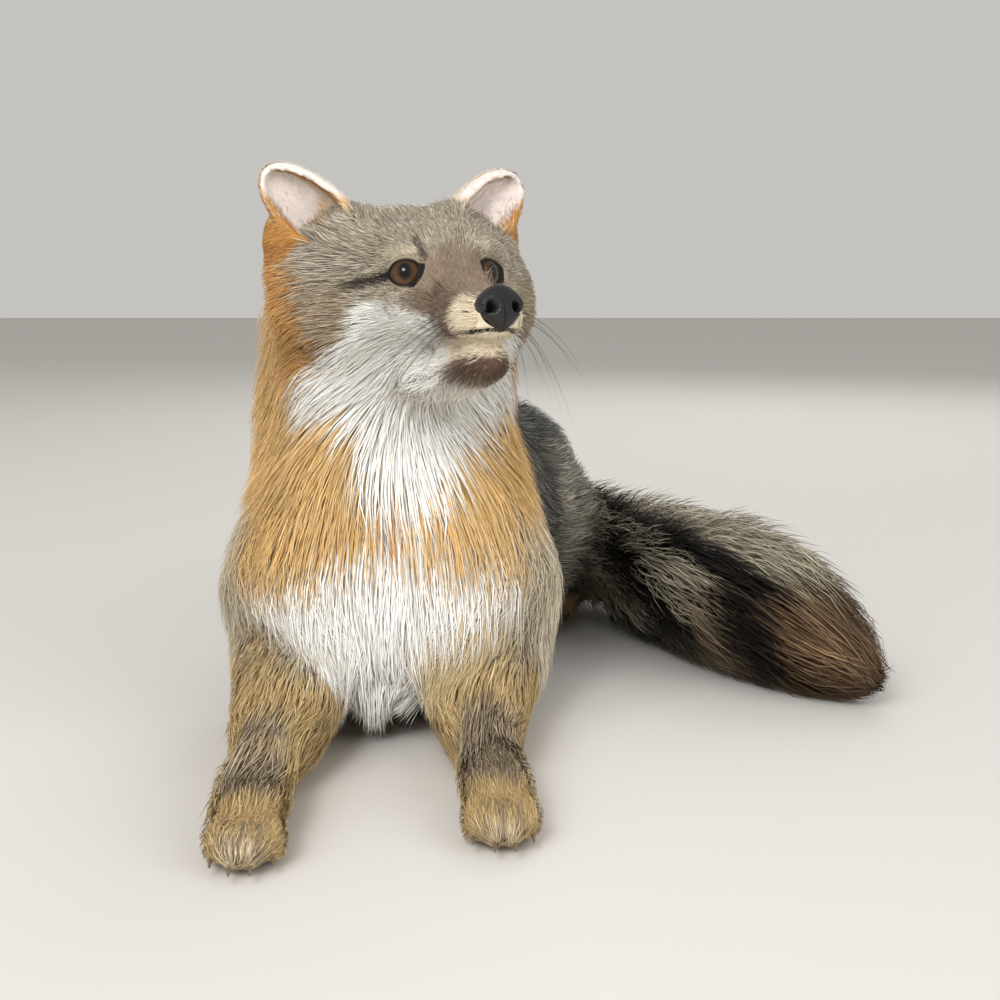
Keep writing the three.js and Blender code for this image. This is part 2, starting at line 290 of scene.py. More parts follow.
def headDepth(h):
    # coat depth on the head: shortest on the muzzle, deep in the cheek ruff
    depth = np.interp(h[:, 1], [-95, -45, -20, -2, 14, 60], [17, 11, 6, 3, 1.8, 1.3])
    ruff = ramp(h[:, 2], -8, -45) * ramp(h[:, 1], 18, -20)
    return depth + 9 * ruff


def meshNormals(places, faces):
    a, b, c = (places[faces[:, k]] for k in range(3))
    across = np.cross(b - a, c - a)
    total = [
        sum(np.bincount(faces[:, k], across[:, axis], len(places)) for k in range(3))
        for axis in range(3)
    ]
    return unit(np.stack(total, 1))


depthOfNode = np.zeros(len(fleshNodes))
for i, nodeName in enumerate(fleshNodes):
    for part, depth in skinShape["depths"].items():
        if nodeName == part or nodeName.startswith(part + "_"):
            depthOfNode[i] = depth
outlineNode = nodesNear(outlinePlaces)
outlineFaces = trianglesOf(outline)
outlineNormals = meshNormals(outlinePlaces, outlineFaces)
depths = depthOfNode[outlineNode]
onHead = outlineNode == fleshNodes.index("head")
depths[onHead] = headDepth(toHead(outlinePlaces[onHead] * 1000))
onJaw = outlineNode == fleshNodes.index("lower_jaw")
depths[onJaw] = np.interp(toHead(outlinePlaces[onJaw] * 1000)[:, 1], [-20, 5, 28, 48], [16, 10, 3.5, 1.8])
lying = (outlinePlaces[:, 2] < 0.007) & (outlineNormals[:, 2] < -0.3)
depths[lying] *= skinShape["flattened"]
outlineTree = BVHTree.FromPolygons(outlinePlaces.tolist(), outlineFaces.tolist())
# how thick the body is, inwards from each point
thick = np.array([
    outlineTree.ray_cast(p, w)[3] or 0.0
    for p, w in zip((outlinePlaces - outlineNormals * 2e-4).tolist(), (-outlineNormals).tolist())
]) * 1000
thick = eased(thick, outlinePairs, 6)[:, 0]
depths = np.minimum(depths, thick * skinShape["thinnest"])
thin = isPart(outlineNode, "ear_") & (toHead(outlinePlaces * 1000)[:, 2] > skinShape["cupStart"])
depths[thin] = skinShape["cupDepth"]
softened = eased(depths, outlinePairs, 24)[:, 0]
softened[thin] = depths[thin]
for _ in range(18):  # away from thin parts the depth grows slowly
    for a, b in ((0, 1), (1, 0)):
        np.minimum.at(softened, outlinePairs[:, a], softened[outlinePairs[:, b]] + skinShape["growth"])
softened[~thin] = eased(softened, outlinePairs, 3)[~thin, 0]
print("coat depths:", round(softened.min(), 1), "to", round(softened.max(), 1))
places = outlinePlaces.copy()
# how much each step evens out the mesh: more under the deeper coat
loosen = np.clip((softened - 1.5) / 9, 0, 1) * 0.7
for _ in range(skinShape["steps"]):
    inward = eased(meshNormals(places, outlineFaces), outlinePairs, 4)
    places = places - unit(inward) * softened[:, None] / 1000 / skinShape["steps"]
    for _ in range(2):
        places = easedWhere(loosen, places, outlinePairs, 1, 1.0)
movePlaces(outline, places)
shrinker = addObject("shrinker", outline)
addRemesh(shrinker, skinShape["fineness"])
drawn = settled(shrinker, "drawn")


def largestBody(bm):
    # deletes all but the largest connected body
    seen, best = set(), []
    for vert in bm.verts:
        if vert in seen:
            continue
        body, front = [], [vert]
        seen.add(vert)
        while front:
            v = front.pop()
            body.append(v)
            for e in v.link_edges:
                o = e.other_vert(v)
                if o not in seen:
                    seen.add(o)
                    front.append(o)
        if len(body) > len(best):
            best = body
    keep = set(best)
    bmesh.ops.delete(bm, geom=[v for v in bm.verts if v not in keep], context="VERTS")


bm = bmesh.new()
bm.from_mesh(drawn)
largestBody(bm)
bmesh.ops.triangulate(bm, faces=bm.faces)
if bm.calc_volume(signed=True) < 0:
    bmesh.ops.reverse_faces(bm, faces=bm.faces)
drawn = meshFrom(bm, "drawn")
movePlaces(drawn, eased(placesOf(drawn), pairsOf(drawn), 4, 0.5))
print("one body:", len(drawn.vertices), "points", len(drawn.polygons), "faces")

# the skin is thinned out where the coat is long and refined on the face

thinned = addObject("thinned", drawn)
h = toHead(placesOf(drawn) * 1000)
keepFine = ramp(h[:, 1], -75, -55) * ramp(h[:, 2], -75, -60)
group = thinned.vertex_groups.new(name="furry")
coarse = np.where(keepFine < 0.5)[0]
group.add(coarse.tolist(), 1.0, "REPLACE")
furryShare = len(coarse) / len(drawn.vertices)
fewer = thinned.modifiers.new("fewer", "DECIMATE")
fewer.ratio = skinShape["keptFurry"] * furryShare + skinShape["keptFace"] * (1 - furryShare)
fewer.vertex_group = "furry"
fewer.vertex_group_factor = 1.0
skinMesh = settled(thinned, "skin")
print("thinned:", len(skinMesh.polygons), "faces")

eyeShape = {
    "centre": (17.5, 1.4, 0.0),  # across, forward, up in the head's frame
    "radius": 8.6,
    "turn": 27.0,  # how far the eye looks outwards, in degrees
    "lift": 4.0,
    "lidOver": 0.45,  # the lid's edge stands this far off the eyeball
    "lidRadius": 9.5,
    "reach": 1.5,  # how far round the eyeball the lids go, in radians
    "inner": 8.3, "outer": 8.1, "upper": 5.3, "lower": 5.6,  # half the opening, four ways
    "innerDip": 1.3, "outerDip": 0.4,  # how far the two corners dip
    "cornea": 0.045,  # how far it bulges, as a share of the radius
    "irisMap": 20,  # width that the iris map covers
    "steepest": 0.985,  # sine of the furthest that the opening goes round the eyeball
    "surround": 17,  # how far from its centre the skin is refined
}


def refine(bm, near, rounds):
    # halves the edges that near() picks
    for _ in range(rounds):
        bm.verts.ensure_lookup_table()
        places = np.array([v.co[:] for v in bm.verts])
        picked = near(toHead(places * 1000))
        inside = [e for e in bm.edges if picked[e.verts[0].index] and picked[e.verts[1].index]]
        bmesh.ops.subdivide_edges(bm, edges=inside, cuts=1, use_grid_fill=True)
        bmesh.ops.triangulate(bm, faces=[f for f in bm.faces if len(f.verts) > 3])
        bm.verts.index_update()


def mirrored(h):
    # places of the head, all turned to one side
    return np.stack([np.abs(h[:, 0]), h[:, 1], h[:, 2]], 1)


def fromEye(h):
    # distance from the centre of the nearer eye
    return np.linalg.norm(mirrored(h) - eyeShape["centre"], axis=1)


def distanceTo(h, line):
    # distance from each place to a line of points
    line = np.array(line, float)
    if len(line) == 1:
        return np.linalg.norm(h - line[0], axis=1)
    best = np.full(len(h), 1e9)
    for a, b in zip(line[:-1], line[1:]):
        along = b - a
        t = np.clip(((h - a) @ along) / (along @ along), 0, 1)
        best = np.minimum(best, np.linalg.norm(h - a - t[:, None] * along, axis=1))
    return best


mouthLine = [
    (0, 57, -31), (5, 56, -31), (10, 51, -31), (13, 45, -31), (15, 36, -31.5), (16, 28, -32.5), (17, 20, -35),
]
mouthShape = {"depth": 1.9, "lips": 0.5, "refined": 4.5, "bare": 1.4}  # lengths across the line
# strokes that model the face: line, width, height along the skin's normal; mirrored
faceStrokes = [
    ([(9, 14, 6), (15, 11, 10.5), (22, 4, 12.5), (29, -5, 10)], 6.5, 2.8),  # brow
    ([(12, 14, -9), (20, 8, -12), (28, -1, -11)], 6.5, 2.0),  # under the eye
    ([(28, -3, 0), (33, -9, 0)], 6, 1.6),  # outer corner
    ([(7, 15, 0), (8, 17, -7)], 5, 1.2),  # inner corner
    ([(0, 14, 3)], 8, -1.2),  # stop
    ([(0, 46, -9), (0, 24, -4)], 6, 0.7),  # bridge
    ([(13, 40, -16), (13, 24, -12), (12, 14, -8)], 4.5, -1.2),  # beside the bridge
    ([(13, 44, -24), (15, 34, -25)], 6.5, 1.3),  # whisker pad
    ([(22, 14, -26), (26, 4, -30)], 8, -1.2),  # behind the corner of the mouth
    ([(0, 52, -36), (8, 46, -37)], 4, 1.0),  # lower lip
    ([(0, 50, -46)], 6, 0.8),  # chin
]

bm = bmesh.new()
bm.from_mesh(skinMesh)


def nearFace(h):
    return (fromEye(h) < eyeShape["surround"]) | (h[:, 1] > 12)


def nearLips(h):
    return distanceTo(mirrored(h), mouthLine) < mouthShape["refined"]


def pushed(places, heights):
    # places moved out along the skin's normals
    normals = meshNormals(places, trianglesOf(skinMesh))
    return places + normals * heights[:, None] / 1000


refine(bm, nearFace, 1)
refine(bm, nearLips, 1)
skinMesh = meshFrom(bm, "skin")
skinPairs = pairsOf(skinMesh)
skinPlaces = placesOf(skinMesh)
h = toHead(skinPlaces * 1000)
skinPlaces = easedWhere(ramp(h[:, 1], -20, 5), skinPlaces, skinPairs, 3, 0.5)
# smoothed under the jaw and behind the cheeks
under = ramp(h[:, 1], 14, -4) * ramp(h[:, 2], -26, -38) * ramp(h[:, 2], -150, -120)
behind = ramp(np.abs(h[:, 0]), 34, 42) * ramp(h[:, 1], -20, -30)
behind *= ramp(h[:, 2], 14, 4) * ramp(h[:, 2], -150, -120)
skinPlaces = easedWhere(np.maximum(under, behind), skinPlaces, skinPairs, 30)
# and at the wrists
wrist = np.zeros(len(skinPlaces))
for spot in skinShape["wrists"]:
    wrist = np.maximum(wrist, ramp(np.linalg.norm(skinPlaces * 1000 - spot, axis=1), 34, 24))
skinPlaces = easedWhere(wrist * ramp(skinPlaces[:, 2] * 1000, 5, 9), skinPlaces, skinPairs, 24)
for line, width, height in faceStrokes:
    folded = mirrored(toHead(skinPlaces * 1000))
    skinPlaces = pushed(skinPlaces, height * np.exp(-((distanceTo(folded, line) / width) ** 2)))
# the crease of the mouth between fuller lips
toMouth = distanceTo(mirrored(toHead(skinPlaces * 1000)), mouthLine)
crease = -mouthShape["depth"] * np.exp(-((toMouth / 1.25) ** 2))
crease = crease + mouthShape["lips"] * np.exp(-(((toMouth - 2.8) / 1.3) ** 2))
skinPlaces = pushed(skinPlaces, crease)
# the skin sinks behind the nose pad
padSeat = {"up": -21.5, "out": 10.5, "from": 44, "to": 66, "depth": 50}
h = toHead(skinPlaces * 1000)
fromPad = np.hypot(h[:, 0], (h[:, 2] - padSeat["up"]) * 1.15)
behindPad = (fromPad < padSeat["out"]) & (h[:, 1] > padSeat["from"]) & (h[:, 1] < padSeat["to"])
deepest = padSeat["depth"] + 10 * ramp(fromPad[behindPad], 6.5, padSeat["out"])
h[behindPad, 1] = np.minimum(h[behindPad, 1], deepest)
skinPlaces = fromHead(h) / 1000
movePlaces(skinMesh, skinPlaces)
skinTree = BVHTree.FromPolygons(skinPlaces.tolist(), trianglesOf(skinMesh).tolist())
print("face modelled:", len(skinMesh.polygons), "faces")

# eyes and lids


def eyeFrame(side):
    # centre and the axes outward-corner, up, forward of one eye, in the head's frame
    turn, lift = math.radians(eyeShape["turn"]), math.radians(eyeShape["lift"])
    level = math.cos(lift)
    forward = np.array([math.sin(turn) * side * level, math.cos(turn) * level, math.sin(lift)])
    corner = unit(np.cross(forward, (0, 0, 1))) * side
    corner = corner * np.sign(corner[0] * side)
    up = unit(np.cross(corner, forward))
    up = up * np.sign(up[2])
    centre = np.array(eyeShape["centre"]) * (side, 1, 1)
    return centre, corner, up, forward


def buildEye(side):
    # an eyeball with a low cornea; its UV map lies flat on the iris
    bm = bmesh.new()
    bmesh.ops.create_uvsphere(bm, u_segments=64, v_segments=40, radius=eyeShape["radius"])
    centre, corner, up, forward = eyeFrame(side)
    layer = bm.loops.layers.uv.new("irisMap")
    for face in bm.faces:
        for loop in face.loops:
            x, y, z = loop.vert.co
            spread = 2.0 if z < 0 else 1.0  # the back half lies outside the iris
            loop[layer].uv = [0.5 + spread * c / eyeShape["irisMap"] for c in (x, y)]
    for vert in bm.verts:
        x, y, z = vert.co
        bulge = 1 + eyeShape["cornea"] * float(ramp(np.array(z), 5.2, 8.6))
        local = corner * x * bulge + up * y * bulge + forward * z * bulge
        vert.co = Vector(fromHead(centre + local) / 1000)
    bmesh.ops.recalc_face_normals(bm, faces=bm.faces)
    mesh = meshFrom(bm, "eyeball")
    shadeSmooth(mesh)
    return addObject("eyeballLeft" if side > 0 else "eyeballRight", mesh)


def opening(angle):
    # the edge of the lids in the plane of the eye
    x = math.cos(angle) * (eyeShape["outer"] if math.cos(angle) > 0 else eyeShape["inner"])
    reach = abs(math.cos(angle))
    tall = eyeShape["upper"] if math.sin(angle) > 0 else eyeShape["lower"]
    y = math.copysign(tall * (1 - reach ** 2.3) ** 0.8, math.sin(angle))
    if math.cos(angle) < 0:
        y -= eyeShape["innerDip"] * reach ** 4
    else:
        y -= eyeShape["outerDip"] * reach ** 3
    return x, y


def buildLids(side):
    # rings from the lids' edge out to the skin
    centre, corner, up, forward = eyeFrame(side)
    spokes, rings = 72, 13  # round the opening, and out from its edge
    bm = bmesh.new()
    bmesh.ops.create_grid(bm, x_segments=spokes, y_segments=rings, size=0.5)
    bm.verts.ensure_lookup_table()
    for vert in bm.verts:
        spoke = round((vert.co.x + 0.5) * spokes)
        ring = round((vert.co.y + 0.5) * rings)
        angle = spoke / spokes * 2 * math.pi
        x, y = opening(angle)
        edge = eyeShape["radius"] + eyeShape["lidOver"]
        tilt = math.asin(min(math.hypot(x, y) / edge, eyeShape["steepest"]))
        heading = math.atan2(y, x)
        step = max(ring - 2, 0)
        last = rings - 2
        wide = tilt + (eyeShape["reach"] - tilt) * step / last
        outward = math.cos(heading) * corner + math.sin(heading) * up
        way = math.cos(wide) * forward + math.sin(wide) * outward
        origin = Vector(fromHead(centre + way * 40) / 1000)
        aim = Vector(fromHead(centre) / 1000) - origin
        hit = skinTree.ray_cast(origin, aim.normalized())[0]
        reach = (np.linalg.norm(toHead(np.array(hit) * 1000) - centre) if hit else 0.0) + 0.25
        lid = edge + (eyeShape["lidRadius"] - edge) * float(ramp(np.array(step), 0, 2.5))
        down = float(ramp(np.array(step), 2, last - 1))
        radius = lid * (1 - down) + max(reach, eyeShape["radius"] - 1) * down
        radius = max(radius, min(reach, lid + 2.5)) if 0 < step < last else radius
        if ring == 0:
            radius = eyeShape["radius"] - 1.0
        if ring == 1:
            radius = eyeShape["radius"] + 0.05
        if ring == rings:
            radius = reach - 1.2
        vert.co = Vector(fromHead(centre + way * radius) / 1000)
    bmesh.ops.remove_doubles(bm, verts=bm.verts, dist=1e-6)
    ahead = Vector(headWays(forward))
    bm.normal_update()
    facing = sum(f.normal.dot(ahead) * f.calc_area() for f in bm.faces)
    if facing < 0:
        bmesh.ops.reverse_faces(bm, faces=bm.faces)
    bmesh.ops.triangulate(bm, faces=bm.faces)
    return meshFrom(bm, "lids")


eyeballs = [buildEye(1), buildEye(-1)]
for eyeball, nodeName in zip(eyeballs, ("eye_left", "eye_right")):
    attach(eyeball, "root")
    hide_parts(nodeName)
bm = bmesh.new()
bm.from_mesh(skinMesh)
bareCount = len(bm.verts)
bm.from_mesh(buildLids(1))
bm.from_mesh(buildLids(-1))
skinMesh = meshFrom(bm, "skin")
shadeSmooth(skinMesh)
skin = addObject("skin", skinMesh)
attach(skin, "root")
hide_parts(*[n for n in fleshNodes if not n.startswith("eye_") and n != "nose"])
print("lids added:", len(skinMesh.polygons), "faces")

# nose pad

noseShape = {
    "centre": (0, 57.0, -21.5),
    "half": (11.0, 6.6, 9.6),  # half its width, depth and height
    "nostril": (5.4, 0.6),  # across and up from the centre
    "rim": 0.9,  # how far the nostril's rim stands out
    "hole": 5.2,  # how deep the nostril, its slit and the middle groove go
    "slit": 1.6,
    "groove": 0.9,
}


def buildNose():
    bm = bmesh.new()
    bmesh.ops.create_icosphere(bm, subdivisions=6, radius=1.0)
    q = np.array([v.co[:] for v in bm.verts])
    x, y, z = q[:, 0], q[:, 1], q[:, 2]
    y = np.sign(y) * np.abs(y) ** 0.82
    narrow = np.interp(z, [-1, -0.75, -0.3, 0.2, 1], [0.42, 0.55, 0.82, 1.0, 0.92])
    p = np.stack([x * narrow, y, z], 1) * noseShape["half"]
    side = np.abs(p[:, 0])
    front = ramp(p[:, 1], 0.5, 3.0)
    out, high = noseShape["nostril"]
    hole = np.exp(-(((side - out) / 2.0) ** 2 + ((p[:, 2] - high) / 2.3) ** 2) * 1.1) * front
    seen = np.stack([side, p[:, 1] * 0, p[:, 2]], 1)
    wing = distanceTo(seen, [(5.6, 0, -0.5), (8.0, 0, -2.0), (10.5, 0, -1.6)])
    slit = np.exp(-((wing / 0.75) ** 2)) * ramp(p[:, 1], -2.5, 0.5)
    groove = np.exp(-((p[:, 0] / 0.6) ** 2)) * ramp(p[:, 2], 2.5, -1.0) * front
    rim = np.exp(-(((side - out) / 3.3) ** 2 + ((p[:, 2] - high) / 3.6) ** 2)) * front
    p[:, 1] += (
        noseShape["rim"] * rim - noseShape["hole"] * hole
        - noseShape["slit"] * slit - noseShape["groove"] * groove
    )
    p[:, 2] += 0.5 * np.exp(-((side / 5) ** 2)) * ramp(z, 0.5, 1)
    local = p + noseShape["centre"]
    for vert, place in zip(bm.verts, fromHead(local) / 1000):
        vert.co = Vector(place)
    # painted shade in the nostrils and the slits beside them
    dark = np.clip(hole * 1.3 + slit * 0.6, 0, 1)
    bmesh.ops.recalc_face_normals(bm, faces=bm.faces)
    mesh = meshFrom(bm, "nosePad")
    setShare(mesh, "hollowShade", dark)
    shadeSmooth(mesh)
    return addObject("nosePad", mesh)


nosePad = buildNose()
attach(nosePad, "root")
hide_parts("nose")
print("nose made")

# markings: every kind of hair has its own colours

hairKinds = {
    # colour of the root, middle, tip and other tip, and share of tufts with the other tip
    "grizzle": ((116, 104, 88), (190, 178, 156), (78, 70, 60), (234, 227, 210), 0.5),
    "cheekGrey": ((112, 96, 78), (184, 166, 138), (84, 70, 56), (220, 206, 180), 0.5),
    "flank": ((98, 92, 82), (158, 150, 134), (52, 49, 45), (210, 204, 188), 0.48),
    # the dark saddle of the back; its colours also paint the shade of the fold behind the shoulders
    "saddle": ((36, 36, 36), (76, 76, 74), (20, 20, 21), (152, 151, 144), 0.34),
    "outer": ((140, 124, 98), (206, 192, 164), (122, 108, 88), (230, 222, 202), 0.6),
    "orange": ((200, 158, 102), (216, 175, 114), (232, 202, 150), (200, 152, 92), 0.45),
    "rust": ((168, 118, 62), (196, 142, 78), (208, 160, 100), (178, 124, 66), 0.4),
    "white": ((244, 240, 230), (250, 247, 240), (252, 250, 245), (244, 238, 226), 0.4),
    "cream": ((216, 198, 166), (238, 224, 198), (246, 236, 216), (222, 202, 170), 0.4),
    "tan": ((156, 126, 82), (204, 176, 124), (226, 206, 160), (160, 126, 78), 0.45),
    # grey on top of the legs; its colours also paint shade between the toes
    "legGrey": ((98, 84, 68), (156, 140, 118), (70, 60, 50), (196, 182, 158), 0.45),
    "muzzle": ((124, 106, 90), (152, 134, 114), (136, 118, 100), (176, 160, 140), 0.35),
    "chin": ((78, 60, 48), (104, 82, 66), (84, 64, 52), (156, 134, 112), 0.4),
    "black": ((18, 16, 15), (26, 23, 21), (22, 20, 19), (52, 46, 42), 0.2),
    "tailGrizzle": ((110, 102, 86), (172, 162, 140), (72, 66, 56), (204, 196, 174), 0.5),
    "tailRust": ((70, 54, 40), (112, 88, 62), (58, 45, 38), (142, 116, 86), 0.38),
    "earSkin": ((232, 218, 210), (236, 224, 216), (240, 230, 222), (228, 214, 204), 0.5),
}
kindNames = list(hairKinds)
bandTones = np.array([[tone(*c) for c in hairKinds[k][:4]] for k in kindNames])
otherShare = np.array([hairKinds[k][4] for k in kindNames])

# the tail's black lines: points and half width
tailStripes = [
    ([(76, 108, 86), (88, 62, 88), (105, 20, 86), (124, -47, 76), (141, -73, 66), (166, -94, 54)], 12),
    ([(82, 22, 62), (86, 2, 48), (93, -14, 34), (104, -30, 24), (116, -46, 16)], 14),
    ([(140, -84, 42), (147, -88, 28), (154, -88, 12)], 18),
]
# the upper edge of the white on the cheek: how far from the middle, how high
whiteTop = (
    [0, 14, 19, 28, 38, 41, 44, 53, 58, 62, 80],
    [-38, -29, -18, -11, -8, -14, -23, -36, -44, -52, -60],
)

neckX = -43  # the middle line of the neck and breast
trunkLine = (-16, 0.19)  # the middle line of the trunk: its x where y is 0, and how x grows with y
shoulderY = -96  # the coat of the breast and shoulders begins here
toeWidth = 7.8
# the outer edge of the ears' cups: how high, how far from the middle
cupEdge = ([18, 34, 60], [42, 56, 80])


def cupFacing(places, normals):
    # how much each place faces the way that its ear opens, 1 to -1
    h = toHead(places)
    earFront = unit(np.stack([-0.2 * np.sign(h[:, 0]), np.ones(len(h)), np.full(len(h), 0.12)], 1))
    return ((toHead(places + normals) - h) * earFront).sum(1)


def markBody(places, isNode, paint):
    x, y, z = places.T
    aside = np.abs(x - trunkLine[0] - trunkLine[1] * y)
    neckSide = np.abs(x - neckX)
    frontal = ramp(y, -66, shoulderY)
    paint("saddle", 0.95 * ramp(aside, 68, 54) * ramp(z, 84, 112))
    # a band behind the shoulders: dark fur in part, and in part painted shade of the fold between shoulder
    # and flank
    paint("saddle", 0.9 * ramp(y, -104, -88) * ramp(y, 26, -6) * ramp(z, 28, 50))
    paint("cream", ramp(z, 26, 6) * ramp(y, -150, -110) * 0.6)
    paint("tan", isNode("hind_") * 0.95)
    paint("outer", frontal * ramp(z, 150, 125))
    shoulders = ramp(neckSide, 78, 64) * ramp(z, 62, 78)
    paint("orange", frontal * np.maximum(shoulders, ramp(z, 122, 136)))
    paint("orange", isNode("neck") * ramp(y, -58, -74))
    paint("saddle", isNode("neck", "head") * ramp(neckSide, 34, 16) * ramp(y, -92, -76) * 0.75)


def markTail(places, isNode, paint):
    # grizzled above, rusty below, with black lines and a dark tip
    x, _, z = places.T
    tailOn = isNode("tail_")
    paint("tailGrizzle", tailOn * ramp(x, 28, 50))
    along = ramp(x, 120, 175)
    paint("tailRust", tailOn * ramp(z, 62, 40) * along * 0.9)
    paint("tailRust", tailOn * ramp(x, 105, 128) * ramp(z, 66, 46) * 0.7)
    for line, width in tailStripes:
        paint("black", tailOn * ramp(distanceTo(places, line), width * 1.25, width * 0.7))
    paint("black", tailOn * ramp(z, 20, 8) * ramp(x, 76, 92) * ramp(x, 126, 108) * 0.9)
    paint("black", tailOn * ramp(x, 194, 210) * 0.45)


def markBreast(places, isNode, paint):
    # the bib, the band across it, the lower chest
    x, y, z = places.T
    neckSide = np.abs(x - neckX)
    frontal = ramp(y, -66, shoulderY)
    left = np.interp(z, [96, 104, 112, 128, 145, 160, 190, 215], [-33, -44, -52, -58, -66, -74, -82, -84])
    right = np.interp(z, [96, 104, 112, 129, 145, 160, 190], [-20, -8, 5, 15, 22, 34, 60])
    bib = ramp(x, left - 3, left + 5) * ramp(x, right + 3, right - 5)
    bib *= ramp(z, 95, 103) * ramp(y, shoulderY, -112)
    paint("white", bib)
    bandLow = np.interp(x, [-110, -96, -62, -35, -8, 24, 40], [58, 66, 75, 84, 75, 66, 58])
    chest = frontal * ramp(z, bandLow + 4, bandLow - 5)
    armSide = ramp(neckSide, 72, 58)
    whiteLow = np.interp(neckSide, [14, 28, 60], [22, 44, 56])
    paint("white", chest * armSide * ramp(z, whiteLow, whiteLow + 9))
    paint("tan", chest * armSide * ramp(z, whiteLow + 3, whiteLow - 5) * ramp(neckSide, 16, 24) * 0.8)
    spot = np.exp(-(((x + 36) / 7) ** 2 + ((z - 93) / 9) ** 2)) * frontal
    paint("rust", spot * 1.4)
    paint("white", isNode("breast_hair") + ramp(neckSide, 26, 14) * ramp(y, -140, -150) * ramp(z, 60, 40))


def markForelegs(places, isNode, paint):
    # tan, grey on top, with painted shade in the gaps between the toes
    x, y, z = places.T
    leg = isNode("forearm", "forepaw")
    paint("tan", leg * ramp(z, 44, 36) + leg * ramp(y, -196, -206))
    isRight = x < -40
    rightLeg = isRight * leg
    leftLeg = ~isRight * leg
    # the top of each leg, whose middle line is at x -85 (it leans a little) or 11
    rightTop = ramp(np.abs(x + 85 - (y + 240) * -0.05), 15, 9) * ramp(z, 17, 23)
    paint("legGrey", rightLeg * rightTop * ramp(y, -222, -230) * ramp(y, -292, -284) * 0.95)
    paint("tan", rightLeg * rightTop * ramp(np.abs(y + 258), 7, 3) * 0.6)
    leftTop = ramp(np.abs(x - 11), 17, 11) * ramp(z, 15, 21)
    paint("legGrey", leftLeg * leftTop * ramp(y, -202, -210) * ramp(y, -272, -264) * 0.95)
    toes = leg * ramp(y, np.where(isRight, -311, -290), np.where(isRight, -320, -299))
    paint("cream", toes * 0.6)
    fromMiddle = np.abs(x - np.where(isRight, -81, 16))
    between = np.minimum(np.abs(fromMiddle - toeWidth), fromMiddle)  # from the nearest gap between toes
    toeFront = ramp(y, np.where(isRight, -298, -276), np.where(isRight, -306, -284))
    # painted shade in the gaps between the toes, in the leg's grey
    paint("legGrey", leg * toeFront * ramp(between, 1.9, 0.8) * 0.8)


def markHead(h, isNode, paint):
    lat, fwd, up = np.abs(h[:, 0]), h[:, 1], h[:, 2]
    head = isNode("head", "lower_jaw", "nose", "eye")
    face = np.maximum(head, isNode("neck") * ramp(fwd, -62, -52) * ramp(up, -60, -50))
    paint("grizzle", face)
    paint("cheekGrey", face * ramp(lat, 34, 46) * ramp(up, 6, -6))
    paint("rust", face * ramp(lat, 48, 56) * ramp(fwd, -40, -48))
    paint("orange", face * ramp(lat, 40, 52) * ramp(fwd, -50, -58) * ramp(up, 5, -12))
    paint("rust", head * ramp(fwd, -52, -62) * ramp(lat, 14, 26) * 0.8)
    paint("muzzle", head * ramp(fwd, 4, 14) * ramp(up, -36, -30))
    folded = mirrored(h)
    paint("cream", head * 0.45 * ramp(distanceTo(folded, [(17, 3, 12), (27, -4, 12)]), 5.5, 2.8))
    line = np.interp(lat, *whiteTop)
    white = ramp(up, line + 1.5, line - 2.5) * ramp(fwd, 33, 27) * ramp(fwd, -66, -58)
    ruff = isNode("neck") * ramp(up, -74, -60) * ramp(lat, 60, 54)
    paint("white", np.maximum(head, ruff) * white)
    sideOfMuzzle = head * ramp(fwd, 19, 24) * ramp(fwd, 40, 36) * ramp(lat, 9, 13) * ramp(up, -33, -29)
    paint("chin", sideOfMuzzle * 0.55)
    # painted shadow under the eye beside the muzzle, in the chin's dark brown
    shadow = head * ramp(fwd, 9, 14) * ramp(fwd, 32, 24) * ramp(lat, 9, 13) * ramp(up, -6, -10)
    paint("chin", shadow * ramp(up, line - 4, line + 1) * 0.42)
    lip = head * ramp(fwd, 37, 42) * ramp(up, -34.5, -32.5)
    top = ramp(lat, 10.5, 8.5) * ramp(up, -17, -14) * ramp(fwd, 50, 47)
    paint("cream", lip * (1 - top))
    lowerLip = head * ramp(up, -31, -32.5) * ramp(up, -43, -39) * ramp(fwd, 14, 26)
    paint("cream", lowerLip)
    chin = head * ramp(up, -37.5, -42) * ramp(up, -57, -49) * ramp(fwd, 6, 20) * ramp(lat, 21, 13)
    paint("chin", chin)
    eyeLine = distanceTo(folded, [(25.5, 0, 0), (33, -10, -0.5), (39, -19, -1), (45, -24, -3)])
    paint("black", head * ramp(eyeLine, 3.4, 1.6) * np.interp(lat, [24, 38, 46], [1, 0.85, 0.35]))
    browLine = distanceTo(folded, [(12.5, 9, 7), (12, 6, 11), (12.5, 0, 17)])
    paint("black", head * ramp(browLine, 3.0, 1.2) * 0.75)
    innerCorner = distanceTo(folded, [(9.5, 7.5, -2), (7.5, 10.5, -4.5)])
    paint("black", head * ramp(innerCorner, 2.0, 0.9) * 0.85)
    mouthGap = distanceTo(folded, mouthLine)
    paint("black", head * ramp(mouthGap, 1.5, 0.9) * ramp(fwd, 14, 24))


def markEars(h, facing, isNode, paint):
    # pale inside, rust behind, a cream edge
    lat, up = np.abs(h[:, 0]), h[:, 2]
    ear = isNode("ear")
    lateral = np.interp(up, *cupEdge)
    inside = ramp(facing, 0.15, 0.4) * ramp(lat, lateral + 2, lateral - 2)
    paint("rust", ear)
    paint("earSkin", ear * inside)
    medial = np.interp(up, [20, 60], [28, 42])
    paint("orange", ear * inside * ramp(up, 46, 38) * ramp(lat, medial + 6, medial))
    paint("cream", ear * ramp(facing, -0.25, 0.0) * ramp(facing, 0.5, 0.25) * ramp(up, 30, 38))


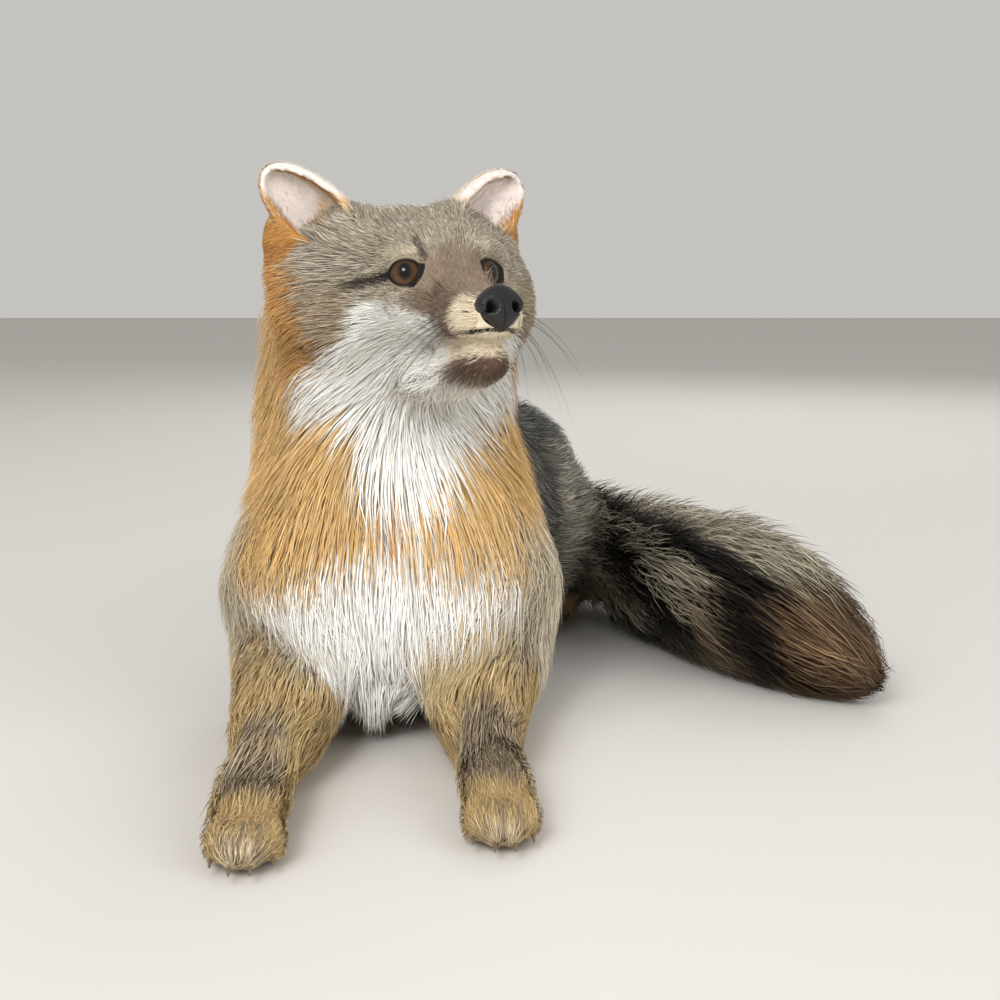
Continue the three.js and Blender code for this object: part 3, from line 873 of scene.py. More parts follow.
def markings(places, normals, node):
    # weights of the kinds of hair at each place; later marks cover earlier ones
    weight = np.zeros((len(places), len(kindNames)))
    weight[:, kindNames.index("flank")] = 1

    def paint(kind, mask):
        mask = np.clip(mask, 0, 1)[:, None]
        weight[:] = weight * (1 - mask)
        weight[:, kindNames.index(kind)] += mask[:, 0]

    def isNode(*starts):
        return isPart(node, *starts).astype(float)

    markBody(places, isNode, paint)
    markTail(places, isNode, paint)
    markBreast(places, isNode, paint)
    markForelegs(places, isNode, paint)
    h = toHead(places)
    markHead(h, isNode, paint)
    markEars(h, cupFacing(places, normals), isNode, paint)
    return weight


# the lie of the coat: lines that the hair follows, some in the body's frame and some in the head's

bodyLines = [
    [
        (-44, -58, 215), (-43, -28, 178), (-36, -8, 162), (-16, 30, 150), (-2, 90, 148), (6, 140, 128),
        (12, 185, 92),
    ],
    [(-43, -172, 158), (-42, -178, 128), (-43, -190, 98), (-43, -188, 66), (-43, -176, 34), (-45, -156, 4)],
]
mirroredLines = [
    # first number is how far from the middle line
    [(40, -100, 225), (52, -96, 195), (58, -92, 160), (66, -84, 120), (68, -60, 95)],
    [(52, -62, 170), (60, -30, 130), (66, 15, 105), (64, 65, 100), (58, 105, 92), (50, 150, 72)],
    [(68, -55, 70), (68, 15, 62), (66, 65, 60), (62, 110, 50), (52, 150, 34)],
    [(66, -50, 30), (66, 15, 24), (66, 65, 22), (60, 110, 18)],
    [(30, -165, 160), (38, -168, 125), (46, -178, 92), (48, -182, 62), (46, -190, 42)],
    [(58, -140, 150), (66, -142, 118), (70, -150, 84), (68, -162, 56), (60, -190, 40)],
    [(70, -118, 120), (76, -118, 86), (78, -122, 50), (72, -140, 20)],
    [(66, -90, 90), (74, -88, 50), (72, -90, 20)],
    [(20, -170, 150), (26, -176, 118), (26, -188, 84), (24, -182, 56)],
]
legLines = [
    [(-93, -110, 56), (-88, -170, 44), (-85, -215, 38), (-84, -250, 30), (-82, -290, 27), (-80, -322, 12)],
    [(-112, -120, 24), (-106, -180, 20), (-101, -230, 18), (-98, -280, 15), (-94, -315, 8)],
    [(-66, -130, 26), (-66, -190, 20), (-68, -235, 16), (-66, -285, 14), (-66, -315, 8)],
    [(14, -110, 56), (13, -165, 44), (11, -200, 37), (12, -235, 30), (15, -270, 26), (17, -300, 12)],
    [(36, -110, 24), (33, -160, 20), (28, -210, 18), (30, -258, 15), (33, -292, 8)],
    [(-14, -130, 26), (-10, -170, 20), (-6, -215, 16), (0, -260, 14), (3, -292, 8)],
    [(36, 172, 10), (44, 120, 16), (48, 76, 10)], [(-46, 172, 10), (-52, 120, 16), (-52, 76, 10)],
]
tailLine = [
    (14, 170, 56), (44, 166, 50), (75, 130, 46), (98, 76, 44), (122, 23, 44), (146, -19, 42), (164, -50, 38),
    (183, -78, 28), (203, -103, 15),
]
headLines = [
    [
        (0, 55, -13), (0, 40, -9), (0, 24, -4), (0, 10, 3), (0, -5, 18), (0, -25, 36), (0, -45, 45),
        (0, -72, 38), (0, -96, 12),
    ],
]
mirroredHeadLines = [
    [
        (10, 52, -16), (13, 36, -15), (14, 22, -11), (13, 12, -4), (9, 8, 4), (10, -2, 16), (12, -20, 34),
        (14, -44, 42),
    ],
    [
        (12, 52, -23), (15, 36, -23), (18, 22, -20), (20, 12, -15), (28, 1, -14), (42, -14, -12),
        (58, -32, -14), (66, -50, -20),
    ],
    [
        (11, 53, -29), (15, 38, -29), (17, 24, -27), (21, 10, -26), (34, -6, -32), (48, -24, -42),
        (58, -42, -56),
    ],
    [(4, 54, -40), (10, 40, -45), (13, 26, -51), (17, 14, -60), (20, 6, -76), (22, 2, -96)],
    [(22, 10, -48), (28, 0, -56), (34, -8, -70), (38, -14, -90)],
    [(2, 46, -50), (3, 30, -56), (4, 18, -66), (4, 10, -82), (4, 6, -100)],
    [(13, 12, 7), (18, 5, 12), (28, -8, 20), (38, -26, 32), (42, -46, 38)],
    [(14, 9, 2), (20, 8, 8), (28, 0, 8), (40, -16, 8), (56, -34, 8), (64, -56, 4)],
    [(12, 10, -5), (18, 9, -8), (27, 0, -8), (38, -13, -4), (52, -28, -4), (63, -46, -6)],
    [(62, -60, -10), (62, -72, -30), (56, -76, -52)],
    [(50, -64, 24), (52, -82, 4), (48, -88, -20)],
    [(34, -42, 30), (46, -44, 48), (60, -46, 66), (70, -47, 84)],
]


def guidesOf(line, step):
    # places and directions along a line of points
    line = np.array(line, float)
    guides, ways = [], []
    for a, b in zip(line[:-1], line[1:]):
        count = max(1, round(float(np.linalg.norm(b - a)) / step))
        for i in range(count):
            guides.append(a + (b - a) * (i + 0.5) / count)
            ways.append(unit(b - a))
    return guides, ways


guides, guideWays = [], []
guideSteps = {"body": 12, "tail": 14, "head": 7}  # distance from one guide to the next
tailRound = {"lines": 6, "out": (27, 12, 30)}  # lines round the tail, and how far out they lie


def addGuides(line, step, ofHead=False):
    if ofHead:
        line = fromHead(line)
    found, ways = guidesOf(line, step)
    guides.extend(found)
    guideWays.extend(ways)


def middleX(y):
    return neckX if y < -45 else trunkLine[0] + trunkLine[1] * y


for line in bodyLines + legLines + [tailLine]:
    addGuides(line, guideSteps["body"])
for line in mirroredLines:
    for side in (1, -1):
        addGuides([(side * a + middleX(b), b, c) for a, b, c in line], guideSteps["body"])
for turn in range(tailRound["lines"]):
    a = turn / tailRound["lines"] * 2 * math.pi
    wide, deep, tall = tailRound["out"]
    out = (wide * math.cos(a), deep * math.cos(a), tall * math.sin(a))
    addGuides([(x + out[0], y + out[1], z + out[2]) for x, y, z in tailLine[:-1]], guideSteps["tail"])
for line in headLines:
    addGuides(line, guideSteps["head"], True)
for line in mirroredHeadLines:
    for side in (1, -1):
        addGuides([(side * a, b, c) for a, b, c in line], guideSteps["head"], True)
guides, guideWays = np.array(guides), np.array(guideWays)
print("guides:", len(guides))


def lieAt(places, normals):
    # the direction of the hair at each place, in the surface
    ways = np.zeros_like(places)
    atOnce = 16000
    for start in range(0, len(places), atOnce):
        part = places[start:start + atOnce]
        gap = ((part ** 2).sum(1)[:, None] + (guides ** 2).sum(1)[None] - 2 * part @ guides.T).clip(0)
        ways[start:start + atOnce] = (1 / (gap + 16) ** 2.2) @ guideWays  # nearer guides count for more
    ways = unit(ways)
    flat = ways - normals * (ways * normals).sum(1)[:, None]
    return unit(flat + 1e-6)


coatShape = {
    "tufts": 131000,
    "shares": {"head": 1.8, "ear": 0.45, "leg": 0.42, "flank": 0.85, "front": 1.7, "tail": 1.15},
    "density": ([0, 1.5, 3, 6, 10, 16, 30], [2.8, 2.6, 2.0, 1.25, 0.75, 0.55, 0.55]),  # by coat depth
    "length": ([0, 1.3, 3, 6, 12, 20, 30], [2.8, 4.2, 7.0, 12.5, 24, 36, 48]),
    "width": ([2, 5, 9, 16, 30, 50], [0.1, 0.12, 0.15, 0.2, 0.28, 0.42]),  # half width at the root
    "rise": [0.0, 0.62, 0.9, 1.0],
    "sway": 0.07,
    "stray": 0.055,
    # how dense some places are, against the rest
    "crowding": {"cup": 0.35, "earEdge": 1.6, "behindEar": 2.2, "below": 0.3, "breast": 1.35, "lid": 0.25},
    # how long, against the rest
    "longer": {"tail": 1.1, "chin": 0.9, "behindEar": 2.2, "leg": 1.45},
    "earLength": (3.0, 5.5),
    "frontWidth": 0.88,
    "lengthSpread": (0.75, 1.2),
    "widthSpread": (0.75, 1.3),
    "outerShare": {"front": 0.58, "rest": 0.7},  # of the tufts, those that reach the outer coat
    "outerFill": (0.72, 1.0),  # how much of the coat's depth a tuft rises through
    "innerFill": (0.3, 0.75),
    "sunk": 0.7,  # how deep below the skin a tuft begins
    "aboveFloor": 0.8,
    "longFrom": 35,  # tufts longer than this have three segments
    "facesPerPiece": 190000,
    "skinPaintedShade": 0.93,  # the skin's tone against the roots and middles of its tufts: painted shade of the coat over it
}
crowding = coatShape["crowding"]
longer = coatShape["longer"]


def pastLid(places):
    # how far each place lies beyond the lids' edge, in mm round the eyeball
    perRadian = 9.6
    h = toHead(places)
    best = np.full(len(h), 99.0)
    for side in (1, -1):
        centre, corner, up, forward = eyeFrame(side)
        edges = np.array([opening(a) for a in np.linspace(0, 2 * math.pi, 73)[:-1]])
        headings = np.arctan2(edges[:, 1], edges[:, 0])
        order = np.argsort(headings)
        lidEdge = eyeShape["radius"] + eyeShape["lidOver"]
        tilts = np.arcsin(np.minimum(np.hypot(*edges.T) / lidEdge, eyeShape["steepest"]))
        way = unit(h - centre)
        tilt = np.arccos(np.clip(way @ forward, -1, 1))
        heading = np.arctan2(way @ up, way @ corner)
        edge = np.interp(heading, headings[order], tilts[order], period=2 * math.pi)
        best = np.minimum(best, (tilt - edge) * perRadian)
    return best


skinFaces = trianglesOf(skinMesh)
skinPlaces = placesOf(skinMesh)
skinNormals = meshNormals(skinPlaces, skinFaces)
skinTree = BVHTree.FromPolygons(skinPlaces.tolist(), skinFaces.tolist())
faceNormals = unit(skinNormals[skinFaces].sum(1))


def nearestOn(tree, places):
    found = [tree.find_nearest(p) for p in places.tolist()]
    spots = np.array([f[0][:] for f in found])
    ways = np.array([f[1][:] for f in found])
    return spots, ways, np.array([f[2] for f in found])


# how densely the tufts stand on each face of the skin

corners = skinPlaces[skinFaces] * 1000
area = np.linalg.norm(np.cross(corners[:, 1] - corners[:, 0], corners[:, 2] - corners[:, 0]), axis=1) / 2
middle = corners.mean(1)
onEnvelope, envelopeWays, _ = nearestOn(envelopeTree, middle / 1000)
faceDepth = np.linalg.norm(middle / 1000 - onEnvelope, axis=1) * 1000
faceNode = nodesNear(onEnvelope)
wanted = np.interp(faceDepth, *coatShape["density"])
h = toHead(middle)
lat, fwd, up = np.abs(h[:, 0]), h[:, 1], h[:, 2]
eyeGap = fromEye(h)
earFace = isPart(faceNode, "ear_")
facing = cupFacing(middle, faceNormals)
innerEar = earFace & (facing > 0.45) & (lat < np.interp(up, *cupEdge))
wanted[innerEar] *= crowding["cup"]
wanted[earFace & (np.abs(facing) < 0.4) & (up > 30)] *= crowding["earEdge"]
wanted[earFace & (up < 40) & ~innerEar] *= crowding["behindEar"]
wanted[(middle[:, 2] < 5) & (faceNormals[:, 2] < -0.4)] = 0  # where it lies on the floor
wanted[(faceNormals[:, 2] < -0.7) & (middle[:, 2] < 30) & (middle[:, 1] > -150)] *= crowding["below"]
wanted[(eyeGap < 14) & (pastLid(middle) < 0.7)] = 0  # the opening of the eye
breast = (faceNormals[:, 1] < -0.3) & (np.abs(middle[:, 0] - neckX) < 48)
breast &= (middle[:, 1] < shoulderY) & (fwd < 10)
wanted[breast] *= crowding["breast"]
wanted[(fwd > 53) & (lat < 8.5) & (up > -29) & (up < -14)] = 0  # behind the nose pad

region = np.full(len(faceNode), "flank", dtype=object)
region[isPart(faceNode, "neck", "breast_hair", "upper_arm")] = "front"
region[isPart(faceNode, "trunk") & (middle[:, 1] < shoulderY)] = "front"
region[isPart(faceNode, "head", "lower_jaw", "nose", "eye")] = "head"
region[(region == "head") & (fwd < -52)] = "front"
region[isPart(faceNode, "forearm", "forepaw", "hind_")] = "leg"
region[isPart(faceNode, "tail_")] = "tail"
region[earFace] = "ear"
wanted *= np.array([coatShape["shares"][r] for r in region])
wanted[distanceTo(mirrored(h), mouthLine) < mouthShape["bare"]] = 0
isLid = skinFaces.min(1) >= bareCount
wanted[isLid & (eyeGap < 9.9)] *= crowding["lid"]
share = wanted * area
share *= coatShape["tufts"] / share.sum()

# where the roots are: at random in each face

counts = np.floor(share + dice.random(len(share))).astype(int)
rootFace = np.repeat(np.arange(len(counts)), counts)
a, b = dice.random(len(rootFace)), dice.random(len(rootFace))
over = a + b > 1
a[over], b[over] = 1 - a[over], 1 - b[over]
cornerShares = np.stack([1 - a - b, a, b], 1)
roots = (skinPlaces[skinFaces[rootFace]] * cornerShares[:, :, None]).sum(1) * 1000
rootNormals = unit((skinNormals[skinFaces[rootFace]] * cornerShares[:, :, None]).sum(1))
rootNode = faceNode[rootFace]
overOutline = ((middle - onEnvelope * 1000) * envelopeWays).sum(1)[rootFace]
rootDepth = np.where(overOutline > -1.2, 1.2, faceDepth[rootFace])
count = len(roots)
print("roots:", count)

# length, height and width of every tuft

tailRoot = isPart(rootNode, "tail_")
earRoot = earFace[rootFace]
lengths = np.interp(rootDepth, *coatShape["length"]) * dice.uniform(*coatShape["lengthSpread"], count)
lengths[tailRoot] *= longer["tail"]
legRoots = isPart(rootNode, "forearm", "hind_foot", "forepaw")
lengths[earRoot] = dice.uniform(*coatShape["earLength"], earRoot.sum())
h = toHead(roots)
chinSide = ramp(h[:, 2], -42, -54) * ramp(h[:, 1], 34, 18) * ramp(h[:, 1], -60, -40)
lengths *= 1 + chinSide * longer["chin"]
behindEar = earRoot & (h[:, 2] < 24)
lengths[behindEar] *= longer["behindEar"]
lengths[legRoots] *= longer["leg"]
isFront = region[rootFace] == "front"
outerShare = np.where(isFront, coatShape["outerShare"]["front"], coatShape["outerShare"]["rest"])
isOuter = dice.random(count) < outerShare
outerFill = dice.uniform(*coatShape["outerFill"], count)
fill = np.where(isOuter, outerFill, dice.uniform(*coatShape["innerFill"], count))
heights = rootDepth * fill
widths = np.interp(lengths, *coatShape["width"]) * dice.uniform(*coatShape["widthSpread"], count)
widths[isFront] *= coatShape["frontWidth"]

# waves that sway the hair, the strays of single tufts, and how far some stand off the coat

waves = dice.normal(size=(5, 3)) / 16
phases = dice.uniform(0, 6.28, 5)
turns = dice.normal(size=(5, 3))
sway = sum(np.sin(roots @ waves[k] * 3 + phases[k])[:, None] * turns[k] for k in range(5)) * 0.55
stray = dice.normal(size=(count, 3))
loose = np.minimum(dice.exponential(1.0, count), 3.2)
loose *= np.interp(rootDepth, [1, 3, 8, 16], [0.05, 0.4, 1.0, 1.3])
loose[tailRoot] += dice.uniform(0, 5.5, tailRoot.sum())


def risenAt(t):
    # share of its height that a tuft has reached, t from root to tip
    return np.interp(t, [0, 1 / 3, 2 / 3, 1], coatShape["rise"])


def heldUnder(place, highest):
    # places brought to at most so far above the envelope, and kept off the floor
    onOutline, ways, _ = nearestOn(envelopeTree, place / 1000)
    above = ((place - onOutline * 1000) * ways).sum(1)
    place = place - ways * np.maximum(above - highest, 0)[:, None]
    place[:, 2] = np.maximum(place[:, 2], coatShape["aboveFloor"])
    return place


def tuftPaths(chosen, segments):
    # centre lines that follow the skin and stay under the outline
    spot, normal = roots[chosen], rootNormals[chosen]
    length, height = lengths[chosen][:, None], heights[chosen][:, None]
    path = [spot - normal * coatShape["sunk"]]
    upward = [normal]
    drift = np.zeros_like(spot)
    for k in range(1, segments + 1):
        t = k / segments
        way = lieAt(spot, normal)
        aim = spot + way * length / segments
        near, _, faces = nearestOn(skinTree, aim / 1000)
        near = near * 1000
        past = aim - near
        size = np.linalg.norm(past, axis=1, keepdims=True)
        drift = drift + past / np.maximum(size, 1e-6) * np.maximum(size - 0.6 * length / segments, 0)
        normal = unit(0.35 * normal + 0.65 * faceNormals[faces])
        bend = (sway[chosen] * coatShape["sway"] + stray[chosen] * coatShape["stray"]) * length * t * t
        bend = bend - normal * (bend * normal).sum(1)[:, None] * 0.7
        place = near + normal * height * risenAt(t) + bend + drift
        margin = (1 - fill[chosen]) * 0.35 * rootDepth[chosen] + 0.2
        highest = np.maximum(loose[chosen] * t * t - margin, overOutline[chosen] + 1.1 * fill[chosen])
        path.append(heldUnder(place, highest))
        upward.append(normal)
        spot = near
    return np.stack(path, 1), np.stack(upward, 1)


# the core of the brush, its directions and its reach
tailEnd = (212, -113, 11)
tailCurve = []
for a, b in zip(tailLine[:-1], tailLine[1:]):
    for u in np.linspace(0, 1, 12)[:-1]:
        tailCurve.append((1 - u) * np.array(a) + u * np.array(b))
tailCurve = np.array(tailCurve + [tailLine[-1], tailEnd], float)
for _ in range(30):
    tailCurve[1:-1] = (tailCurve[:-2] + tailCurve[1:-1] * 2 + tailCurve[2:]) / 4
tailRun = np.concatenate([[0], np.cumsum(np.linalg.norm(np.diff(tailCurve, axis=0), axis=1))])
tailWays = unit(np.gradient(tailCurve, axis=0))
# half width of the brush along it, by x
tailWidths = ([14, 44, 98, 146, 164, 183, 203, 212], [30, 36, 44, 47, 43, 32, 16, 8])
tailReach = np.interp(tailCurve[:, 0], *tailWidths)


def tailPaths(chosen, segments):
    # runs along the tail and rises from its core to the outline
    spot, normal = roots[chosen], rootNormals[chosen]
    index = np.argmin(((spot[:, None] - tailCurve[None]) ** 2).sum(2), axis=1)
    run = tailRun[index]
    outward = spot - tailCurve[index]
    outward -= tailWays[index] * (outward * tailWays[index]).sum(1)[:, None]
    core = np.linalg.norm(outward, axis=1)
    outward = unit(outward)
    length = lengths[chosen]
    path, upward = [spot - normal * coatShape["sunk"]], [unit(outward)]
    for k in range(1, segments + 1):
        t = k / segments
        at = run + length * (0.15 + 0.85 * t) * t ** 0.25
        centre = np.stack([np.interp(at, tailRun, tailCurve[:, i]) for i in range(3)], 1)
        centre += tailWays[-1] * np.maximum(at - tailRun[-1], 0)[:, None] * 0.25
        reach = np.interp(at, tailRun, tailReach) * fill[chosen]
        size = core + (np.minimum(reach, 60) - core) * risenAt(t)
        bend = (sway[chosen] * 0.9 + stray[chosen]) * length[:, None] * 0.06 * t * t
        place = centre + outward * size[:, None] + bend
        path.append(heldUnder(place, loose[chosen] * 1.2 * t))
        upward.append(outward)
    return np.stack(path, 1), np.stack(upward, 1)


lockTip = (-44, -157)  # where the long lock of the breast meets the floor


def lockPaths(chosen, segments):
    # falls from the breast and draws together towards a point on the floor
    spot, normal = roots[chosen], rootNormals[chosen]
    fromMiddle = spot[:, 0] - neckX
    high = 3 + np.abs(fromMiddle) * 0.9 + dice.exponential(7, len(chosen))
    tip = np.stack([
        lockTip[0] + fromMiddle * 0.4 + stray[chosen, 0] * 2.2,
        lockTip[1] + stray[chosen, 1] * 3.5,
        np.clip(high, 2, spot[:, 2] - 12),
    ], 1)
    path = [spot - normal * coatShape["sunk"]]
    for k in range(1, segments + 1):
        t = k / segments
        bow = normal * 6 * math.sin(t * math.pi) * fill[chosen][:, None]
        path.append(spot + (tip - spot) * t + bow + stray[chosen] * 0.8 * t)
    upward = np.repeat(unit(normal + (0, -1.0, 0.0))[:, None], segments + 1, 1)
    return np.stack(path, 1), upward


# which piece each tuft belongs to

pieceOf = np.full(count, "flank", dtype=object)
pieceOf[tailRoot] = "tail"
pieceOf[isPart(rootNode, "neck", "breast_hair", "upper_arm")] = "shoulder"
pieceOf[isPart(rootNode, "trunk") & (roots[:, 1] < shoulderY)] = "shoulder"
pieceOf[isPart(rootNode, "head", "lower_jaw", "nose", "eye")] = "head"
pieceOf[isPart(rootNode, "forearm", "forepaw", "hind_")] = "leg"
pieceOf[earRoot] = "ear"
# the long lock that hangs from the breast to the floor
hanging = (np.abs(roots[:, 0] - neckX) < 26) & (roots[:, 1] < -128) & (roots[:, 2] > 22) & (roots[:, 2] < 66)
hanging &= (rootNormals[:, 1] < 0.1) & isPart(rootNode, "trunk", "breast_hair", "neck")
pieceOf[hanging] = "lock"
print("hanging:", hanging.sum())
rest = ~np.isin(pieceOf, ["lock", "tail"])
isLong = lengths > coatShape["longFrom"]
groups = [
    # name, tufts, segments of each
    ("lock", np.where(pieceOf == "lock")[0], 3),
    ("tail", np.where(pieceOf == "tail")[0], 3),
    ("long", np.where(rest & isLong)[0], 3),
    ("short", np.where(rest & ~isLong)[0], 2),
]

unwrapShape = {"faces": 6000, "angle": 1.15, "margin": 0.004}


def unwrapped():
    # a coarse copy of the skin with an unwrap: its places, faces and the UV of every face's corners
    coarse = addObject("unwrapped", skinMesh.copy())
    fewer = coarse.modifiers.new("fewer", "DECIMATE")
    fewer.ratio = unwrapShape["faces"] / len(skinMesh.polygons)
    mesh = settled(coarse, "unwrapped")
    coarse = addObject("unwrapped", mesh)
    bpy.context.view_layer.objects.active = coarse
    coarse.select_set(True)
    bpy.ops.object.mode_set(mode="EDIT")
    bpy.ops.mesh.select_all(action="SELECT")
    bpy.ops.uv.smart_project(angle_limit=unwrapShape["angle"], island_margin=unwrapShape["margin"])
    bpy.ops.object.mode_set(mode="OBJECT")
    faces = trianglesOf(mesh)
    loopOfCorner = np.empty(len(faces) * 3, np.int32)
    mesh.loop_triangles.foreach_get("loops", loopOfCorner)
    flatUv = np.empty(len(mesh.loops) * 2, np.float32)
    mesh.uv_layers.active.data.foreach_get("uv", flatUv)
    cornerUv = flatUv.reshape(-1, 2)[loopOfCorner].reshape(-1, 3, 2)
    places = placesOf(mesh)
    bpy.data.objects.remove(coarse)
    return places, faces, cornerUv


def bakeUvAt(spots):
    # the place in the unwrap that each spot on the skin lies at
    coarsePlaces, coarseFaces, cornerUv = unwrapped()
    coarseTree = BVHTree.FromPolygons(coarsePlaces.tolist(), coarseFaces.tolist())
    spots, _, faces = nearestOn(coarseTree, spots / 1000)
    tri = coarsePlaces[coarseFaces[faces]]
    v0, v1, v2 = tri[:, 1] - tri[:, 0], tri[:, 2] - tri[:, 0], spots - tri[:, 0]
    d00, d01, d11 = (v0 * v0).sum(1), (v0 * v1).sum(1), (v1 * v1).sum(1)
    d20, d21 = (v2 * v0).sum(1), (v2 * v1).sum(1)
    low = np.maximum(d00 * d11 - d01 * d01, 1e-18)
    second, third = (d11 * d20 - d01 * d21) / low, (d00 * d21 - d01 * d20) / low
    shares = np.stack([1 - second - third, second, third], 1)  # of the face's three corners
    return np.einsum("nk,nkc->nc", shares, cornerUv[faces]).clip(0.002, 0.998)


rootUv = bakeUvAt(roots)
print("unwrapped")

# a tuft takes its marking where it shows, near its tip; edges blur by so many mm
edgeBlur = {"face": 0.8, "chin": 1.9, "body": 2.6}
tipPlace = np.zeros_like(roots)
pathOf = {}
for label, members, segments in groups:
    make = lockPaths if label == "lock" else tailPaths if label == "tail" else tuftPaths
    pathOf[label] = make(members, segments)
    path = pathOf[label][0]
    tipPlace[members] = path[:, -1] * 0.45 + path[:, -2] * 0.55
crossing = (fromEye(toHead(tipPlace)) < 13) & (pastLid(tipPlace) < 0.35)  # over the opening of an eye
shown, shownNormals, _ = nearestOn(envelopeTree, tipPlace / 1000)
shown = shown * 1000
ofHead = toHead(shown)
onFace = np.linalg.norm(ofHead - (0, 10, -10), axis=1) < 62
jitter = np.where(onFace, edgeBlur["face"], edgeBlur["body"])[:, None]
jitter[(ofHead[:, 2] < -36) & (ofHead[:, 1] > -10)] = edgeBlur["chin"]
shown = shown + dice.normal(size=roots.shape) * jitter
rootKinds = markings(shown, shownNormals, rootNode)
inCup = innerEar[rootFace] & (toHead(roots)[:, 2] > 40)
rootKinds[inCup] = np.eye(len(kindNames))[kindNames.index("earSkin")]
takesOther = (dice.random(count) < rootKinds @ otherShare)[:, None]
bands = np.einsum("nk,kbc->nbc", rootKinds, bandTones)
clumps = sum(np.sin(shown @ waves[k] * 7 + phases[k] * 3) for k in range(5)) / 1.6
clumps += sum(np.sin(shown @ waves[k] * 13 + phases[k]) for k in range(5)) / 2.5


def shareOf(*kinds):
    return rootKinds[:, [kindNames.index(k) for k in kinds]].sum(1)


# tones vary from tuft to tuft, and in clumps

darkShare = shareOf("saddle", "flank", "tailGrizzle", "tailRust", "legGrey")
spread = 0.13 + 0.07 * shareOf("grizzle") - 0.05 * shareOf("white", "orange", "rust", "cream")
bright = np.exp(dice.normal(size=count) * spread + clumps * (0.05 + 0.15 * darkShare))[:, None]
rootTone = bands[:, 0] * bright
middleTone = bands[:, 1] * bright
tipTone = np.where(takesOther, bands[:, 3], bands[:, 2]) * bright
print("marked")

coatMaterials = {}


def coatMaterial(name, strands=True):
    # the tint of each place, with finer hairs streaking every tuft
    if name in coatMaterials:
        return coatMaterials[name]
    material, nodes, links, shader = newMaterial(name)
    tint = nodes.new("ShaderNodeAttribute")
    tint.attribute_name = "coatTint"
    if strands:
        strandUv = nodes.new("ShaderNodeUVMap")
        strandUv.uv_map = "strands"
        fine = nodes.new("ShaderNodeTexNoise")
        fine.inputs["Scale"].default_value = 1.0
        fine.inputs["Detail"].default_value = 2.0
        links.new(strandUv.outputs["UV"], fine.inputs["Vector"])
        level = addRange(nodes, 0.3, 0.7, 0.72, 1.24)
        links.new(fine.outputs["Fac"], level.inputs["Value"])
        streaked = addMix(nodes, "MULTIPLY")
        streaked.clamp_result = True
        streaked.inputs[0].default_value = 1.0
        links.new(tint.outputs["Color"], streaked.inputs[6])
        links.new(level.outputs["Result"], streaked.inputs[7])
        links.new(streaked.outputs[2], shader.inputs["Base Color"])
    else:
        links.new(tint.outputs["Color"], shader.inputs["Base Color"])
        place = nodes.new("ShaderNodeTexCoord")
        grain = nodes.new("ShaderNodeTexNoise")
        grain.inputs["Scale"].default_value = 1400
        grain.inputs["Detail"].default_value = 2.0
        links.new(place.outputs["Object"], grain.inputs["Vector"])
        relief = nodes.new("ShaderNodeBump")
        relief.inputs["Strength"].default_value = 0.5
        relief.inputs["Distance"].default_value = 0.0004
        links.new(grain.outputs["Fac"], relief.inputs["Height"])
        links.new(relief.outputs["Normal"], shader.inputs["Normal"])
    shader.inputs["Roughness"].default_value = 0.62
    shader.inputs["Specular IOR Level"].default_value = 0.3
    coatMaterials[name] = material
    return material


# three-sided tufts by their segments: width, and place between root (0), middle (1) and tip (2)
tuftShapes = {
    2: {"taper": [0.9, 1.0], "bands": [0, 0.55], "faces": 10},
    3: {"taper": [0.85, 1.0, 0.72], "bands": [0, 0.6, 1.25], "faces": 16},
}


def triangleMesh(name, places, faces):
    # a mesh from places in millimetres and triangles
    mesh = bpy.data.meshes.new(name)
    mesh.vertices.add(len(places))
    mesh.vertices.foreach_set("co", (places / 1000).astype(np.float32).ravel())
    mesh.loops.add(len(faces) * 3)
    mesh.loops.foreach_set("vertex_index", faces.astype(np.int32).ravel())
    mesh.polygons.add(len(faces))
    mesh.polygons.foreach_set("loop_start", np.arange(0, len(faces) * 3, 3, dtype=np.int32))
    shadeSmooth(mesh)
    mesh.update()
    return mesh


def tuftFaces(ringCount):
    # the sides between rings, the sides of the tip and the closed root
    faces = []
    for k in range(ringCount - 1):
        for j in range(3):
            p, q = 3 * k + j, 3 * k + (j + 1) % 3
            faces += [(q, p, p + 3), (q, p + 3, q + 3)]
    last = 3 * (ringCount - 1)
    faces += [(last + (j + 1) % 3, last + j, last + 3) for j in range(3)]
    faces += [(0, 1, 2)]
    return np.array(faces)


def tuftTones(chosen, bands):
    # the tone of each point from root to tip
    tones = []
    for t in bands:
        if t <= 1:
            ofRing = rootTone[chosen] * (1 - t) + middleTone[chosen] * t
        else:
            ofRing = middleTone[chosen] * (2 - t) + tipTone[chosen] * (t - 1)
        tones += [ofRing] * 3
    return np.stack(tones + [tipTone[chosen]], 1).reshape(-1, 3)


